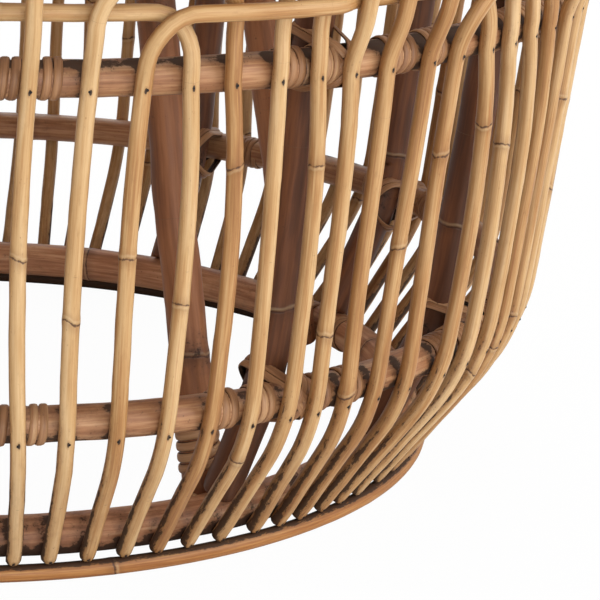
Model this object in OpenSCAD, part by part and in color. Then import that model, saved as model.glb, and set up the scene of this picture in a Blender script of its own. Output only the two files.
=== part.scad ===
// Round open rattan work basket on a ribbed cage, with a lift-out woven tray.
// Millimetres. Origin on the floor, on the basket's axis. Z points up.
// Azimuths are in degrees from the front (-Y) round towards +X.

/* [Ring poles] */
// Radius of the upper ring, to the middle of its pole
upper_ring_r = 240; // [220:1:260]
// Height of the upper ring's middle above the floor
upper_ring_z = 194.6; // [180:0.1:210]
// Radius of the knee ring, where the ribs bend inwards
knee_ring_r = 224; // [215:1:235]
// Height of the knee ring's middle
knee_ring_z = 69.6; // [64:0.1:76]
// Diameter of the poles of the upper, knee, rim and support rings
pole_d = 12.8; // [11:0.2:14]
// Diameter of the stout pole of the base ring
base_pole_d = 15.2; // [13:0.2:17]
// Height of the base ring's middle
base_ring_z = 14; // [13.8:0.1:16.6]
// Diameter of the light trim cane that the basket stands on
trim_d = 6.4; // [5:0.1:6.6]
// Depth of the worn flat under the trim cane
trim_flat = 0.4; // [0.2:0.1:0.8]
// Radius of the trim cane's ring
trim_ring_r = 194; // [190:1:196]
// Height of the rim ring above the upper ring
rim_rise = 62; // [56:1:66]
// Radius of the support ring under the tray
support_ring_r = 132; // [120:1:140]
// Height of the support ring above the upper ring
support_rise = 18; // [16:1:24]

/* [Ribs and hoops] */
// Diameter of a rib cane
rib_d = 5.8; // [4.6:0.1:6]
// Number of hoop families round the basket, each of four nested hoops
families = 11; // [11:1:11]
// Azimuth of rib 0, the left leg of the first family's innermost hoop
first_rib_az = 12.8; // [8:0.1:16]
// Angle from vertical of the ribs below the knee
low_angle = 37; // [32:0.5:39]
// Angle from vertical of the ribs above the upper ring
flare_angle = 12.5; // [8:0.5:16]
// Radius of the ribs' bend at the knee
knee_bend_r = 75; // [40:1:90]
// Height of the innermost hoop's bar above the upper ring
bar_rise = 23.8; // [21:0.1:25]
// Step in height from one nested hoop to the next
bar_step = 14.4; // [13:0.2:15]

/* [Inner poles] */
// Diameter of the uprights that follow the ribs inside the rings
upright_d = 14; // [12:0.5:15]
// Diameter of the leaning inner legs
leg_d = 15; // [13:0.5:16]

/* [Lashings and brads] */
// Thickness of a lashing of split cane
peel_t = 0.9; // [0.6:0.1:1.2]
// Diameter of a brad
brad_d = 1.2; // [1:0.1:1.6]
// Length of a rib brad
brad_l = 12; // [10:0.5:13]

/* [Tray] */
// Radius of the tray's woven floor
tray_floor_r = 176; // [160:1:180]
// Outer radius of the tray's wall at its top
tray_top_r = 227; // [215:1:228]
// Thickness of the woven wall and floor
weave_t = 5; // [4:0.2:6]
// Height of the tray's wall
tray_h = 53; // [45:1:60]
// Diameter of the rolled tray border
border_d = 9; // [8:0.5:10]
// Gap under the tray, above the support ring
tray_gap = 0.3; // [0.3:0.1:0.6]

/* [Hidden] */

straw = "#d9b17c";
trim_tan = "#c0904f";
pole_brown = "#8a5e44";
dark_brown = "#5a3a2c";
peel_tan = "#b98552";
iron = "#2b2622";
fine = 96;

pole_r = pole_d / 2;
rib_r = rib_d / 2;
base_pole_r = base_pole_d / 2;
upright_r = upright_d / 2;
leg_r = leg_d / 2;

// Each family has four left legs and four right legs, and its hoops span
// nine, eleven, thirteen and fifteen spaces between ribs.
hoops = 4;
inner_span = 9;
ribs = families * 2 * hoops;
pitch = 360 / ribs;

// The ribs are spaced by eye: how far each stands from even spacing at its
// foot, at the knee ring, halfway up the wall and at the upper ring, in tenths
// of a degree of azimuth. The rows repeat round the basket.
at_foot = [13, 14, 11, 10, 9, 13, 9, 2, -4, -10, -12, -2, 0, 5, 8, 4, 0, 6, 3, 8, 15, 14];
at_knee = [8, 13, 11, 10, 7, -4, -10, -13, -11, 4, 7, 10, 6, 4, 3, 6, 6, 2, -1, 3, 5, 7];
at_wall = [7, 15, 13, 7, 7, -5, -14, -13, -15, 12, 9, 15, 8, 6, 2, 8, 5, 0, -3, 1, 2, 4];
at_upper = [12, 7, 2, 0, -5, -13, -16, -10, -13, -14, -19, -21, -18, -4, 0, 5, 2, -3, -6, -2, 6, 9];
wall_mid_z = (knee_ring_z + upper_ring_z) / 2;
function by_eye(row, i) = row[((i % ribs) + ribs) % len(row)] / 10;

// Azimuth of rib i at height z. A rib doesn't lean above the upper ring.
function rib_az(i, z) = first_rib_az + pitch * i + lookup(z, [
    [base_ring_z, by_eye(at_foot, i)],
    [knee_ring_z, by_eye(at_knee, i)],
    [wall_mid_z, by_eye(at_wall, i)],
    [upper_ring_z, by_eye(at_upper, i)]]);

// Azimuth of the middle of the gap after rib i, at height z.
function gap_az(i, z) = (rib_az(i, z) + rib_az(i + 1, z)) / 2;

// Clear width between ribs i and i + 1 at height z, measured at radius r.
function gap_width(i, r, z) = (rib_az(i + 1, z) - rib_az(i, z)) * PI / 180 * r - rib_d;

// A point at azimuth az, radius r and height z.
function polar(az, r, z) = [r * sin(az), -r * cos(az), z];

// The ribs' path in a radial plane. Outward normals lean down by the angle
// that the path leans out. The knee bend is an arc that touches the knee
// ring's pole from outside, and the wall is the tangent from that arc to the
// upper ring's pole.
touch = pole_r + rib_r + 0.1;
knee_mid_angle = 18;
bend_r0 = knee_ring_r - (knee_bend_r - touch) * cos(knee_mid_angle);
bend_z0 = knee_ring_z + (knee_bend_r - touch) * sin(knee_mid_angle);
wall_dr = upper_ring_r - bend_r0;
wall_dz = upper_ring_z - bend_z0;
wall_angle = atan2(wall_dr, wall_dz) - asin((knee_bend_r - touch) / norm([wall_dr, wall_dz]));
function on_bend(a) = [bend_r0 + knee_bend_r * cos(a), bend_z0 - knee_bend_r * sin(a)];
bend_low = on_bend(low_angle);
bend_high = on_bend(wall_angle);

// Radius of the ribs' path at height z, below, between and above the bends.
contact_angle = (wall_angle + flare_angle) / 2;
contact = [upper_ring_r + touch * cos(contact_angle), upper_ring_z - touch * sin(contact_angle)];
function path_r(z) =
    z <= bend_low[1] ? bend_low[0] - (bend_low[1] - z) * tan(low_angle)
    : z <= contact[1] ? bend_high[0] + (z - bend_high[1]) * tan(wall_angle)
    : contact[0] + (z - contact[1]) * tan(flare_angle);

// The base ring's pole touches the ribs from inside.
base_touch = base_pole_r + rib_r + 0.1;
base_ring_r = path_r(base_ring_z - base_touch * sin(low_angle)) - base_touch * cos(low_angle);

// A rib ends on top of the trim cane, cut square.
rib_end_z = trim_d - trim_flat + rib_r * sin(low_angle) + 0.1;

// The rim ring's pole touches the hoops' inner layer.
layer = rib_r + 0.45;
rim_ring_z = upper_ring_z + rim_rise;
rim_ring_r = path_r(rim_ring_z) - layer - (rib_r + pole_r + 0.2) / cos(flare_angle);
support_ring_z = upper_ring_z + support_rise;

// A tube swept along points, with flat ends. Its sides are laid out from the
// direction away from the basket's axis.
function unit(v) = v / norm(v);
function away(p) = unit([p[0], p[1], 0]);
function tangent(path, i) = unit(path[min(i + 1, len(path) - 1)] - path[max(i - 1, 0)]);
function ring_points(p, t, r, sides) =
    let (n = unit(away(p) - (away(p) * t) * t), b = cross(t, n))
    [for (j = [0:sides - 1]) p + r * (cos(360 * j / sides) * n + sin(360 * j / sides) * b)];

module cane(path, d, sides) {
    rings = len(path);
    points = [for (i = [0:rings - 1]) each ring_points(path[i], tangent(path, i), d / 2, sides)];
    walls = [for (i = [0:rings - 2], j = [0:sides - 1])
        let (a = i * sides + j, b = i * sides + (j + 1) % sides)
        [b, a, a + sides, b + sides]];
    start_cap = [for (j = [0:sides - 1]) j];
    end_cap = [for (j = [0:sides - 1]) rings * sides - 1 - j];
    polyhedron(points, concat([start_cap], walls, [end_cap]), convexity = 8);
}

// One leg of a hoop, from its foot up to the upper ring, as points.
leg_path = [
    [path_r(rib_end_z), rib_end_z],
    bend_low,
    on_bend(28),
    on_bend(knee_mid_angle),
    bend_high,
    [path_r(wall_mid_z), wall_mid_z],
    contact];
function leg_points(i) = [for (p = leg_path) polar(rib_az(i, p[1]), p[0], p[1])];

// A smooth step from 0 to 1 as t goes from 0 to 1.
function ease(t) = let (u = max(0, min(1, t))) u * u * (3 - 2 * u);

// A hoop goes straight on above the upper ring, then turns into its bar round
// a quarter of an ellipse. The ellipse grows with the hoop.
corner_height = 17;
corner_width = 15;
corner_growth = 2;
layer_climb = 19;
function top_rise(h) = bar_rise + bar_step * h;
function corner_h(h) = corner_height + corner_growth * h;
function corner_start(h) = top_rise(h) - corner_h(h);

// How far hoop h has moved sideways from its rib, at a rise above the ring.
function sideways(h, rise) =
    let (s = max(0, min(1, (rise - corner_start(h)) / corner_h(h))))
    (corner_width + corner_growth * h) * (1 - cos(asin(s)));

// The points of a leg of hoop h above the upper ring. Left legs climb to the
// outer layer and right legs to the inner layer, so that hoops can cross.
corner_steps = [0, 22.5, 45, 67.5, 90];
function corner_points(i, h, side) =
    let (
        turn = [for (a = corner_steps) corner_start(h) + corner_h(h) * sin(a)],
        rises = concat(
            [for (rise = turn) if (rise < layer_climb - 3) rise],
            [layer_climb],
            [for (rise = turn) if (rise > layer_climb + 2) rise]))
    [for (rise = rises)
        let (
            z = upper_ring_z + rise,
            r = path_r(z),
            climb = layer * ease(rise / layer_climb))
        polar(rib_az(i, z) + side * sideways(h, rise) / r * 180 / PI, r + side * climb, z)];

// The bar of hoop h. It passes from the outer layer to the inner layer in the
// gap between the legs of the hoops on either side.
outer_steps = [0.2, 0.4, 0.6, 0.8];
function bar_points(first, last, h) =
    let (
        z = upper_ring_z + top_rise(h),
        r = path_r(z),
        turn = sideways(h, top_rise(h)) / r * 180 / PI,
        from = rib_az(first, z) + turn,
        to = rib_az(last, z) - turn,
        gap = first + h + hoops,
        middle = gap_az(gap, z),
        half = (rib_az(gap + 1, z) - rib_az(gap, z)) / 2 + 0.1 * pitch * h)
    concat(
        [for (s = outer_steps) polar(from + s * (middle - half - from), r + layer, z)],
        [for (s = [-1, -0.4, 0.4, 1]) polar(middle + s * half, r + layer - 2 * layer * ease((s + 1) / 2), z)],
        [for (s = outer_steps) polar(middle + half + s * (to - middle - half), r - layer, z)]);

function reversed(list) = [for (i = [len(list) - 1:-1:0]) list[i]];

module hoop(family, h) {
    first = 2 * hoops * family - h;
    last = 2 * hoops * family + inner_span + h;
    cane(concat(
        leg_points(first),
        corner_points(first, h, 1),
        bar_points(first, last, h),
        reversed(corner_points(last, h, -1)),
        reversed(leg_points(last))), rib_d, 6);
}

module inner_hoops(k) {
    color(straw)
    for (h = [0, 1])
        hoop(k - 1, h);
}

module outer_hoops(k) {
    color(straw)
    for (h = [2, 3])
        hoop(k - 1, h);
}

// A ring bent from round pole.
module pole_ring(r, z, d) {
    translate([0, 0, z])
    rotate_extrude($fn = fine)
    translate([r, 0])
    circle(d = d, $fn = 32);
}

module foot_trim_ring() {
    color(trim_tan)
    translate([0, 0, trim_d / 2 - trim_flat])
    rotate_extrude($fn = fine)
    translate([trim_ring_r, 0])
    intersection() {
        circle(d = trim_d, $fn = 32);
        translate([-trim_d, trim_flat - trim_d / 2])
            square([2 * trim_d, trim_d]);
    }
}

module base_ring() {
    color(dark_brown)
    pole_ring(base_ring_r, base_ring_z, base_pole_d);
}

module knee_ring() {
    color(pole_brown)
    pole_ring(knee_ring_r, knee_ring_z, pole_d);
}

module upper_ring() {
    color(pole_brown)
    pole_ring(upper_ring_r, upper_ring_z, pole_d);
}

module rim_ring() {
    color(pole_brown)
    pole_ring(rim_ring_r, rim_ring_z, pole_d);
}

module support_ring() {
    color(pole_brown)
    pole_ring(support_ring_r, support_ring_z, pole_d);
}

// Uprights stand on the base ring and pass inside the knee, upper and rim
// rings. They are paired across the basket.
upright_azimuths = [32, 62, 115, 148, 212, 242, 295, 328];
upright_touch = pole_r + upright_r + 0.1;
upright_foot_z = base_ring_z + base_pole_r + 0.1;
knee_inside = upright_touch / cos((low_angle - wall_angle) / 2);
upright_knee = [
    knee_ring_r - knee_inside * cos(knee_mid_angle),
    knee_ring_z + knee_inside * sin(knee_mid_angle)];
upright_upper = [upper_ring_r - upright_touch / cos(flare_angle), upper_ring_z];
upright_top_z = rim_ring_z + pole_r;
upright_top = [
    rim_ring_r - upright_touch / cos(flare_angle) + pole_r * tan(flare_angle),
    upright_top_z];
upright_path = [[base_ring_r, upright_foot_z], upright_knee, upright_upper, upright_top];

// A point at height z on the line of the uprights' lowest stretch.
function low_upright(z) =
    let (a = upright_path[0], b = upright_path[1])
    a + (z - a[1]) / (b[1] - a[1]) * (b - a);

module upright(k) {
    az = upright_azimuths[k - 1];
    color(pole_brown)
    intersection() {
        cane([for (p = concat([low_upright(10)], [for (i = [1:3]) upright_path[i]]))
            polar(az, p[0], p[1])], upright_d, 8);
        translate([0, 0, (upright_foot_z + upright_top_z) / 2])
            cube([700, 700, upright_top_z - upright_foot_z], center = true);
    }
}

// Inner legs stand inside the base ring and lean in to the support ring. Each
// foot stands a little to one side of its top.
leg_azimuths = [32, 115, 212, 295];
leg_sidestep = 4;
leg_foot_z = 7.5;
leg_top_z = support_ring_z - pole_r;
leg_lean = atan((base_ring_r - base_pole_r - leg_r - support_ring_r) / (leg_top_z - base_ring_z));
leg_foot_r = base_ring_r - (base_pole_r + leg_r + 0.1) / cos(leg_lean);
function leg_axis(z) = [
    leg_foot_r + (support_ring_r - leg_foot_r) * (z - base_ring_z) / (leg_top_z - base_ring_z),
    leg_sidestep * (1 - z / leg_top_z),
    z];

module inner_leg(k) {
    color(pole_brown)
    rotate([0, 0, leg_azimuths[k - 1] - 90])
    intersection() {
        cane([leg_axis(0), leg_axis(leg_top_z + 10)], leg_d, 16);
        translate([0, -leg_d, leg_foot_z])
            cube([300, 2 * leg_d, leg_top_z - leg_foot_z]);
    }
}

// A round bar from point a to point b.
module pole_between(a, b, d) {
    v = b - a;
    translate(a)
    rotate([0, acos(v[2] / norm(v)), atan2(v[1], v[0])])
    cylinder(d = d, h = norm(v), $fn = 48);
}

// A sleeve of split cane round a ring's pole, centred at an azimuth.
module ring_wrap(az, width, r, z, d) {
    span = width / r * 180 / PI;
    translate([0, 0, z])
    rotate([0, 0, az - 90 - span / 2])
    rotate_extrude(angle = span, $fn = fine)
    translate([r, 0])
    difference() {
        circle(d = d + 2 * peel_t, $fn = 32);
        circle(d = d + 0.1, $fn = 32);
    }
}

// A collar of split cane round a leaning pole, between points a and b.
module pole_collar(az, a, b, d) {
    rotate([0, 0, az - 90])
    difference() {
        pole_between(a, b, d + 2 * peel_t);
        pole_between(a - (b - a), b + (b - a), d + 0.1);
    }
}

// Ribs on either side of azimuth az at height z, as the index of the gap.
function gap_at(az, z) = [for (i = [-4:ribs]) if (rib_az(i, z) <= az && rib_az(i + 1, z) > az) i][0];

// Wraps in the gaps before and after each upright.
wrap_side_gaps = [-2, -1, 1, 2];
module wraps_by_uprights(r, z, d) {
    for (az = upright_azimuths, s = wrap_side_gaps) {
        gap = gap_at(az, z) + s;
        ring_wrap(gap_az(gap, z), gap_width(gap, r, z) - 1.5, r, z, d);
    }
}

// The ends of a ring's pole are cut on a slant and bound together, with one
// wrap that fills the gap before a rib and a narrow one just after that rib.
splice_rib = -2;
splice_width = 7;
module splice_wraps(r, z, d) {
    ring_wrap(gap_az(splice_rib - 1, z), gap_width(splice_rib - 1, r, z) - 1.5, r, z, d);
    after = (rib_r + 1 + splice_width / 2) / r * 180 / PI;
    ring_wrap(rib_az(splice_rib, z) + after, splice_width, r, z, d);
}

module upper_lashings() {
    color(peel_tan) {
        wraps_by_uprights(upper_ring_r, upper_ring_z, pole_d);
        splice_wraps(upper_ring_r, upper_ring_z, pole_d);
    }
}

module knee_lashings() {
    color(peel_tan) {
        wraps_by_uprights(knee_ring_r, knee_ring_z, pole_d);
        splice_wraps(knee_ring_r, knee_ring_z, pole_d);
    }
}

// The base lashings bind the inner legs' feet to the base ring.
module base_lashings() {
    color(peel_tan) {
        for (az = leg_azimuths, s = [-1, 1])
            open_wrap(az + s * (leg_r + 5) / base_ring_r * 180 / PI, 6,
                base_ring_r, base_ring_z, base_pole_d, [0, -base_pole_d]);
        for (az = leg_azimuths) {
            z0 = base_ring_z + base_pole_r + 3;
            pole_collar(az, leg_axis(z0), leg_axis(z0 + 18), leg_d);
        }
    }
}

// A wrap left open where other canes lie against its ring: nothing of it is
// above and outside the corner, measured from the middle of the ring's pole.
module open_wrap(az, width, r, z, d, corner) {
    span = width / r * 180 / PI;
    translate([0, 0, z])
    rotate([0, 0, az - 90 - span / 2])
    rotate_extrude(angle = span, $fn = fine)
    translate([r, 0])
    difference() {
        circle(d = d + 2 * peel_t, $fn = 32);
        circle(d = d + 0.1, $fn = 32);
        translate(corner)
            square([2 * d, 2 * d]);
    }
}

module rim_lashings() {
    color(peel_tan)
    for (az = upright_azimuths, s = [-1, 1])
        open_wrap(az + s * (upright_r + 6) / rim_ring_r * 180 / PI, 8,
            rim_ring_r, rim_ring_z, pole_d, [0, -pole_d]);
}

// Wraps under the support ring on both sides of each inner leg. They stop
// short of the ring's top, where the tray rests.
module support_lashings() {
    color(peel_tan)
    for (az = leg_azimuths, s = [-1, 1])
        open_wrap(az + s * (leg_r + 6) / support_ring_r * 180 / PI, 8,
            support_ring_r, support_ring_z, pole_d, [-pole_d, pole_r - 0.3]);
}

// A brad driven square to the ribs' path: p is the rib's middle, as radius and
// height, and lean is the path's angle from vertical there.
brad_head = 0.15;
module brad(az, p, lean, length) {
    rotate([0, 0, az - 90])
    translate([p[0], 0, p[1]])
    rotate([0, 90 + lean, 0])
    translate([0, 0, rib_r + brad_head - length])
    cylinder(d = brad_d, h = length, $fn = 16);
}

module upper_ring_brads() {
    color(iron)
    for (i = [0:ribs - 1])
        brad(rib_az(i, contact[1]), contact, wall_angle, brad_l);
}

module knee_ring_brads() {
    p = on_bend(knee_mid_angle);
    color(iron)
    for (i = [0:ribs - 1])
        brad(rib_az(i, p[1]), p, knee_mid_angle, brad_l);
}

base_brad_lift = 1.5;
module base_ring_brads() {
    z = base_ring_z - base_touch * sin(low_angle) + base_brad_lift;
    color(iron)
    for (i = [0:ribs - 1])
        brad(rib_az(i, z), [path_r(z), z], low_angle, brad_l);
}

// Two brads through the inner half of each family's top bar into the rim ring.
module rim_brads() {
    z = upper_ring_z + top_rise(hoops - 1);
    color(iron)
    for (k = [0:families - 1], n = [7.2, 8.8])
        brad(first_rib_az + pitch * (2 * hoops * k + n), [path_r(z) - layer, z], 0, brad_l - 2);
}

// Brads up through the trim cane into the base ring, in every fourth gap.
module trim_brads() {
    tip = [base_ring_r + 1, base_ring_z - 3];
    head = [trim_ring_r - 0.5, 0.6];
    color(iron)
    for (i = [1:4:ribs - 1])
        rotate([0, 0, gap_az(i, 0) - 90])
        pole_between([head[0], 0, head[1]], [tip[0], 0, tip[1]], brad_d);
}

// The tray rests on the support ring and lifts straight out.
tray_z = support_ring_z + pole_r + tray_gap;
tray_top_z = tray_z + tray_h;

module tray_floor() {
    color(straw)
    translate([0, 0, tray_z])
    cylinder(r = tray_floor_r, h = weave_t, $fn = fine);
}

module tray_wall() {
    color(straw)
    rotate_extrude($fn = fine)
    polygon([
        [tray_floor_r, tray_z],
        [tray_floor_r + weave_t, tray_z],
        [tray_top_r, tray_top_z],
        [tray_top_r - weave_t, tray_top_z],
        [tray_floor_r, tray_z + weave_t]]);
}

module tray_border() {
    color(trim_tan)
    translate([0, 0, tray_top_z + border_d / 3])
    rotate_extrude($fn = fine)
    translate([tray_top_r - weave_t / 2, 0])
    difference() {
        circle(d = border_d, $fn = 32);
        translate([-border_d, -border_d / 3 - border_d])
            square([2 * border_d, border_d]);
    }
}

foot_trim_ring();
base_ring();
knee_ring();
upper_ring();
rim_ring();
support_ring();
for (k = [1:11])
    inner_hoops(k);
for (k = [1:11])
    outer_hoops(k);
for (k = [1:8])
    upright(k);
for (k = [1:4])
    inner_leg(k);
base_lashings();
knee_lashings();
upper_lashings();
rim_lashings();
support_lashings();
upper_ring_brads();
knee_ring_brads();
base_ring_brads();
rim_brads();
trim_brads();
tray_floor();
tray_wall();
tray_border();
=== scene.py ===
# %% [markdown]
# # A round basket of whole and split rattan
# The real basket is an open cage of bent canes, nailed to rings of thicker
# pole and bound with split cane, with a woven tray that lifts out of its top.
# Every piece of it is long and thin, so one idea makes them all: a route is
# worked out as an array of points, and a cross-section is carried along it.
# This cell loads the measured frame that all the pieces have to fit.

import bpy
import numpy as np
from mathutils import Matrix, Vector


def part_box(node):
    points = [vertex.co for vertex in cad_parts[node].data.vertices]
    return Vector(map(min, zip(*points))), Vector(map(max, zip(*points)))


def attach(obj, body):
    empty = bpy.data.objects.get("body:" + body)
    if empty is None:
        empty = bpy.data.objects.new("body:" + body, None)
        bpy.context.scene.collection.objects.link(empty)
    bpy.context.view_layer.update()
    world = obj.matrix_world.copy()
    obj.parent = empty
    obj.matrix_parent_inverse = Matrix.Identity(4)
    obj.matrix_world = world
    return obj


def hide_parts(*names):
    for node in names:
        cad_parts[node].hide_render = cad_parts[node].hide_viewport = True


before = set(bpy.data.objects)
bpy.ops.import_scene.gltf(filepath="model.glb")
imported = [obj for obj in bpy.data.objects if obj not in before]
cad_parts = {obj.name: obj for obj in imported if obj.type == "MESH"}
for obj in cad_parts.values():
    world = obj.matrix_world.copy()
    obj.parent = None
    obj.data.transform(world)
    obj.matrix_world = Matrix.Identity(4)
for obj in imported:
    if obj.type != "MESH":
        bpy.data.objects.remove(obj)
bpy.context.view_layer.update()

# %% [markdown]
# The rings give the basket its shape. Each ring's radius, height and pole
# are read from the frame, so that a change there carries through to here.

# %% Measure the rings
MM = 0.001
CLEARANCE = 0.1 * MM


def ring_of(node):
    """Radius and height of a ring, and its pole's diameter, which is the height of its box."""
    low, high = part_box(node)
    diameter = high.z - low.z
    return (high.x - low.x - diameter) / 2, (high.z + low.z) / 2, diameter


upper_r, upper_z, pole_d = ring_of("upper_ring")
knee_r, knee_z, _ = ring_of("knee_ring")
base_r, base_z, base_d = ring_of("base_ring")
rim_r, rim_z, _ = ring_of("rim_ring")
support_r, support_z, _ = ring_of("support_ring")
trim_low, trim_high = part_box("foot_trim_ring")
trim_d = 6.4 * MM
trim_r = trim_high.x - trim_d / 2
print(f"upper ring {upper_r:.4f} m round, knee {knee_r:.4f}, base {base_r:.4f}, rim {rim_r:.4f}")

# %% [markdown]
# The ribs follow one line in a radial plane: up and out from the foot, round
# the knee, up the wall and out again above the upper ring. Where two rings
# give a line its place, the touching cane is worked out from both radii.

# %% Work out the line that the ribs follow
RIB_D = 5.8 * MM
RIB_R = RIB_D / 2
LOW_ANGLE, FLARE_ANGLE, KNEE_ANGLE = np.radians([37, 12.5, 18])
KNEE_BEND_R = 75 * MM
TOUCH = pole_d / 2 + RIB_R + CLEARANCE

bend_r0 = knee_r - (KNEE_BEND_R - TOUCH) * np.cos(KNEE_ANGLE)
bend_z0 = knee_z + (KNEE_BEND_R - TOUCH) * np.sin(KNEE_ANGLE)
wall_run = np.array([upper_r - bend_r0, upper_z - bend_z0])
WALL_ANGLE = np.arctan2(*wall_run) - np.arcsin((KNEE_BEND_R - TOUCH) / np.hypot(*wall_run))
contact_angle = (WALL_ANGLE + FLARE_ANGLE) / 2
contact_r = upper_r + TOUCH * np.cos(contact_angle)
contact_z = upper_z - TOUCH * np.sin(contact_angle)


def on_bend(angle):
    """Radius and height on the knee's arc, where the path leans out by this angle."""
    return bend_r0 + KNEE_BEND_R * np.cos(angle), bend_z0 - KNEE_BEND_R * np.sin(angle)


def path_r(z):
    """Radius of the ribs' line at height z: foot line, wall line or flare, whichever holds there."""
    low_r, low_z = on_bend(LOW_ANGLE)
    high_r, high_z = on_bend(WALL_ANGLE)
    foot = low_r - (low_z - z) * np.tan(LOW_ANGLE)
    wall = high_r + (z - high_z) * np.tan(WALL_ANGLE)
    flare = contact_r + (z - contact_z) * np.tan(FLARE_ANGLE)
    return np.where(z <= low_z, foot, np.where(z <= contact_z, wall, flare))


rib_end_z = trim_high.z + RIB_R * np.sin(LOW_ANGLE) + CLEARANCE
print(f"ribs end {rib_end_z * 1000:.1f} mm up and lean {np.degrees(WALL_ANGLE):.1f} degrees in the wall")

# %% [markdown]
# A rib isn't set out with a ruler. Four short rows, repeated round the basket,
# say how far each stands from even spacing at four heights, and a cubic
# through the four gives its sideways curve in between.

# %% Place the ribs round the basket
FAMILIES, HOOPS, INNER_SPAN = 11, 4, 9
RIBS = FAMILIES * HOOPS * 2
PITCH = 360 / RIBS
FIRST_RIB = 12.8
BY_EYE = np.array([
    [13, 14, 11, 10, 9, 13, 9, 2, -4, -10, -12, -2, 0, 5, 8, 4, 0, 6, 3, 8, 15, 14],
    [8, 13, 11, 10, 7, -4, -10, -13, -11, 4, 7, 10, 6, 4, 3, 6, 6, 2, -1, 3, 5, 7],
    [7, 15, 13, 7, 7, -5, -14, -13, -15, 12, 9, 15, 8, 6, 2, 8, 5, 0, -3, 1, 2, 4],
    [12, 7, 2, 0, -5, -13, -16, -10, -13, -14, -19, -21, -18, -4, 0, 5, 2, -3, -6, -2, 6, 9]]) / 10
ROW_HEIGHTS = (base_z, knee_z, (knee_z + upper_z) / 2, upper_z)


def polar(azimuth, r, z):
    """Points at an azimuth in degrees from the front, a radius and a height."""
    a = np.radians(azimuth)
    return np.stack(np.broadcast_arrays(r * np.sin(a), -r * np.cos(a), z), -1)


def rib_azimuth(i, z):
    """Azimuth of rib i at height z: even pitch, plus the cubic through its four rows.

    Row k counts by the product of (z - other) / (its own - other) over the
    other three heights, with z kept between the base and upper rings.
    """
    z = np.clip(z, base_z, upper_z)
    azimuth = FIRST_RIB + PITCH * i
    for k, own in enumerate(ROW_HEIGHTS):
        others = [other for other in ROW_HEIGHTS if other != own]
        share = np.prod([(z - other) / (own - other) for other in others], axis=0)
        azimuth = azimuth + share * BY_EYE[k, np.mod(i, BY_EYE.shape[1])]
    return azimuth


def gap_azimuth(i, z):
    """Azimuth of the middle of the gap after rib i."""
    return (rib_azimuth(i, z) + rib_azimuth(i + 1, z)) / 2


def gap_after(azimuth, z):
    """The gap between ribs that an azimuth falls in, as the index of the rib before it."""
    ribs = np.arange(-4, RIBS + 4)
    return int(ribs[np.searchsorted(rib_azimuth(ribs, z), azimuth) - 1])


print(RIBS, "ribs, the first at", rib_azimuth(0, upper_z), "degrees")

# %% [markdown]
# Everything bent is a loft: rows of points, each a cross-section, joined into
# a skin of four-sided faces with its ends closed. Each part also carries a
# few numbers for its finish, such as how far along the cane a point lies.

# %% Join cross-sections into a skin
UP = np.array([0.0, 0.0, 1.0])


def loft(rows, closed=False):
    """Quads between neighbouring rows of an (n, sides, 3) array, and a fan of triangles on each end."""
    n, sides = rows.shape[:2]
    j = np.arange(sides)
    start = np.arange(n if closed else n - 1)[:, None] * sides
    after = (start + sides) % (n * sides)
    turn = (j + 1) % sides
    quads = np.stack([start + j, start + turn, after + turn, after + j], -1).reshape(-1, 4)
    points = rows.reshape(-1, 3)
    if closed:
        return points, quads, np.zeros((0, 3), int)
    ends = np.array([rows[0].mean(0), rows[-1].mean(0)])
    first = np.stack([np.full(sides, n * sides), turn, j], -1)
    last = np.stack([np.full(sides, n * sides + 1), (n - 1) * sides + j, (n - 1) * sides + turn], -1)
    return np.vstack([points, ends]), quads, np.vstack([first, last])


def unit(v):
    """Vectors of length one."""
    return v / np.linalg.norm(v, axis=-1, keepdims=True)


def turned(angle, u, v):
    """Vectors at these angles from u towards v, where u and v are square to each other."""
    return np.cos(angle)[:, None] * u + np.sin(angle)[:, None] * v


def directions(route, closed=False):
    """Tangent t, the direction n square to it that points away from the basket's axis, and b = t x n."""
    if closed:
        t = unit(np.roll(route, -1, 0) - np.roll(route, 1, 0))
    else:
        t = unit(np.gradient(route, axis=0))
    away = unit(route * [1, 1, 0] + [1e-9, 0, 0])
    n = unit(away - (away * t).sum(-1, keepdims=True) * t)
    return t, n, np.cross(t, n)


def length_along(route):
    """Distance along a route at each of its points."""
    steps = np.linalg.norm(np.diff(route, axis=0), axis=-1)
    return np.concatenate([[0], np.cumsum(steps)])


def place_on(x, y, s):
    """Each point's place on its cane: its two section coordinates and its distance along."""
    return np.stack(np.broadcast_arrays(x[None, :], y[None, :], s[:, None]), -1).reshape(-1, 3)


def between(stations, s, values):
    """Rows of values at these stations, from rows known at distances s."""
    return np.stack([np.interp(stations, s, column) for column in values.T], -1)


def resample(route, stations):
    """The route's points at these distances along it."""
    return between(stations, length_along(route), route)


print("loft of a square prism:", [len(a) for a in loft(np.zeros((2, 4, 3)))])

# %% [markdown]
# Cane is a plant. It wanders a little, its section is not quite round, and it
# swells at each growth ring, where a leaf once grew. Growth rings are what
# the eye looks for, so the stations along a cane crowd together near them.

# %% Sweep a cane along a route
FAR = 0.1


def wander(s, seed, lengths=(0.13, 0.052, 0.021), sizes=(1.0, 0.45, 0.2)):
    """A smooth random wander about zero along s: a sum of sine waves with random phases."""
    rng = np.random.default_rng(seed)
    phases = rng.uniform(0, 2 * np.pi, len(lengths))
    return sum(k * np.sin(2 * np.pi * s / w + p) for w, k, p in zip(lengths, sizes, phases))


def nearest(s, marks):
    """Signed distance from each station to the nearest mark, or a long way where there are none."""
    if len(marks) == 0:
        return np.full(len(s), FAR)
    gaps = s[:, None] - np.asarray(marks)[None, :]
    return gaps[np.arange(len(s)), np.abs(gaps).argmin(1)]


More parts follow.
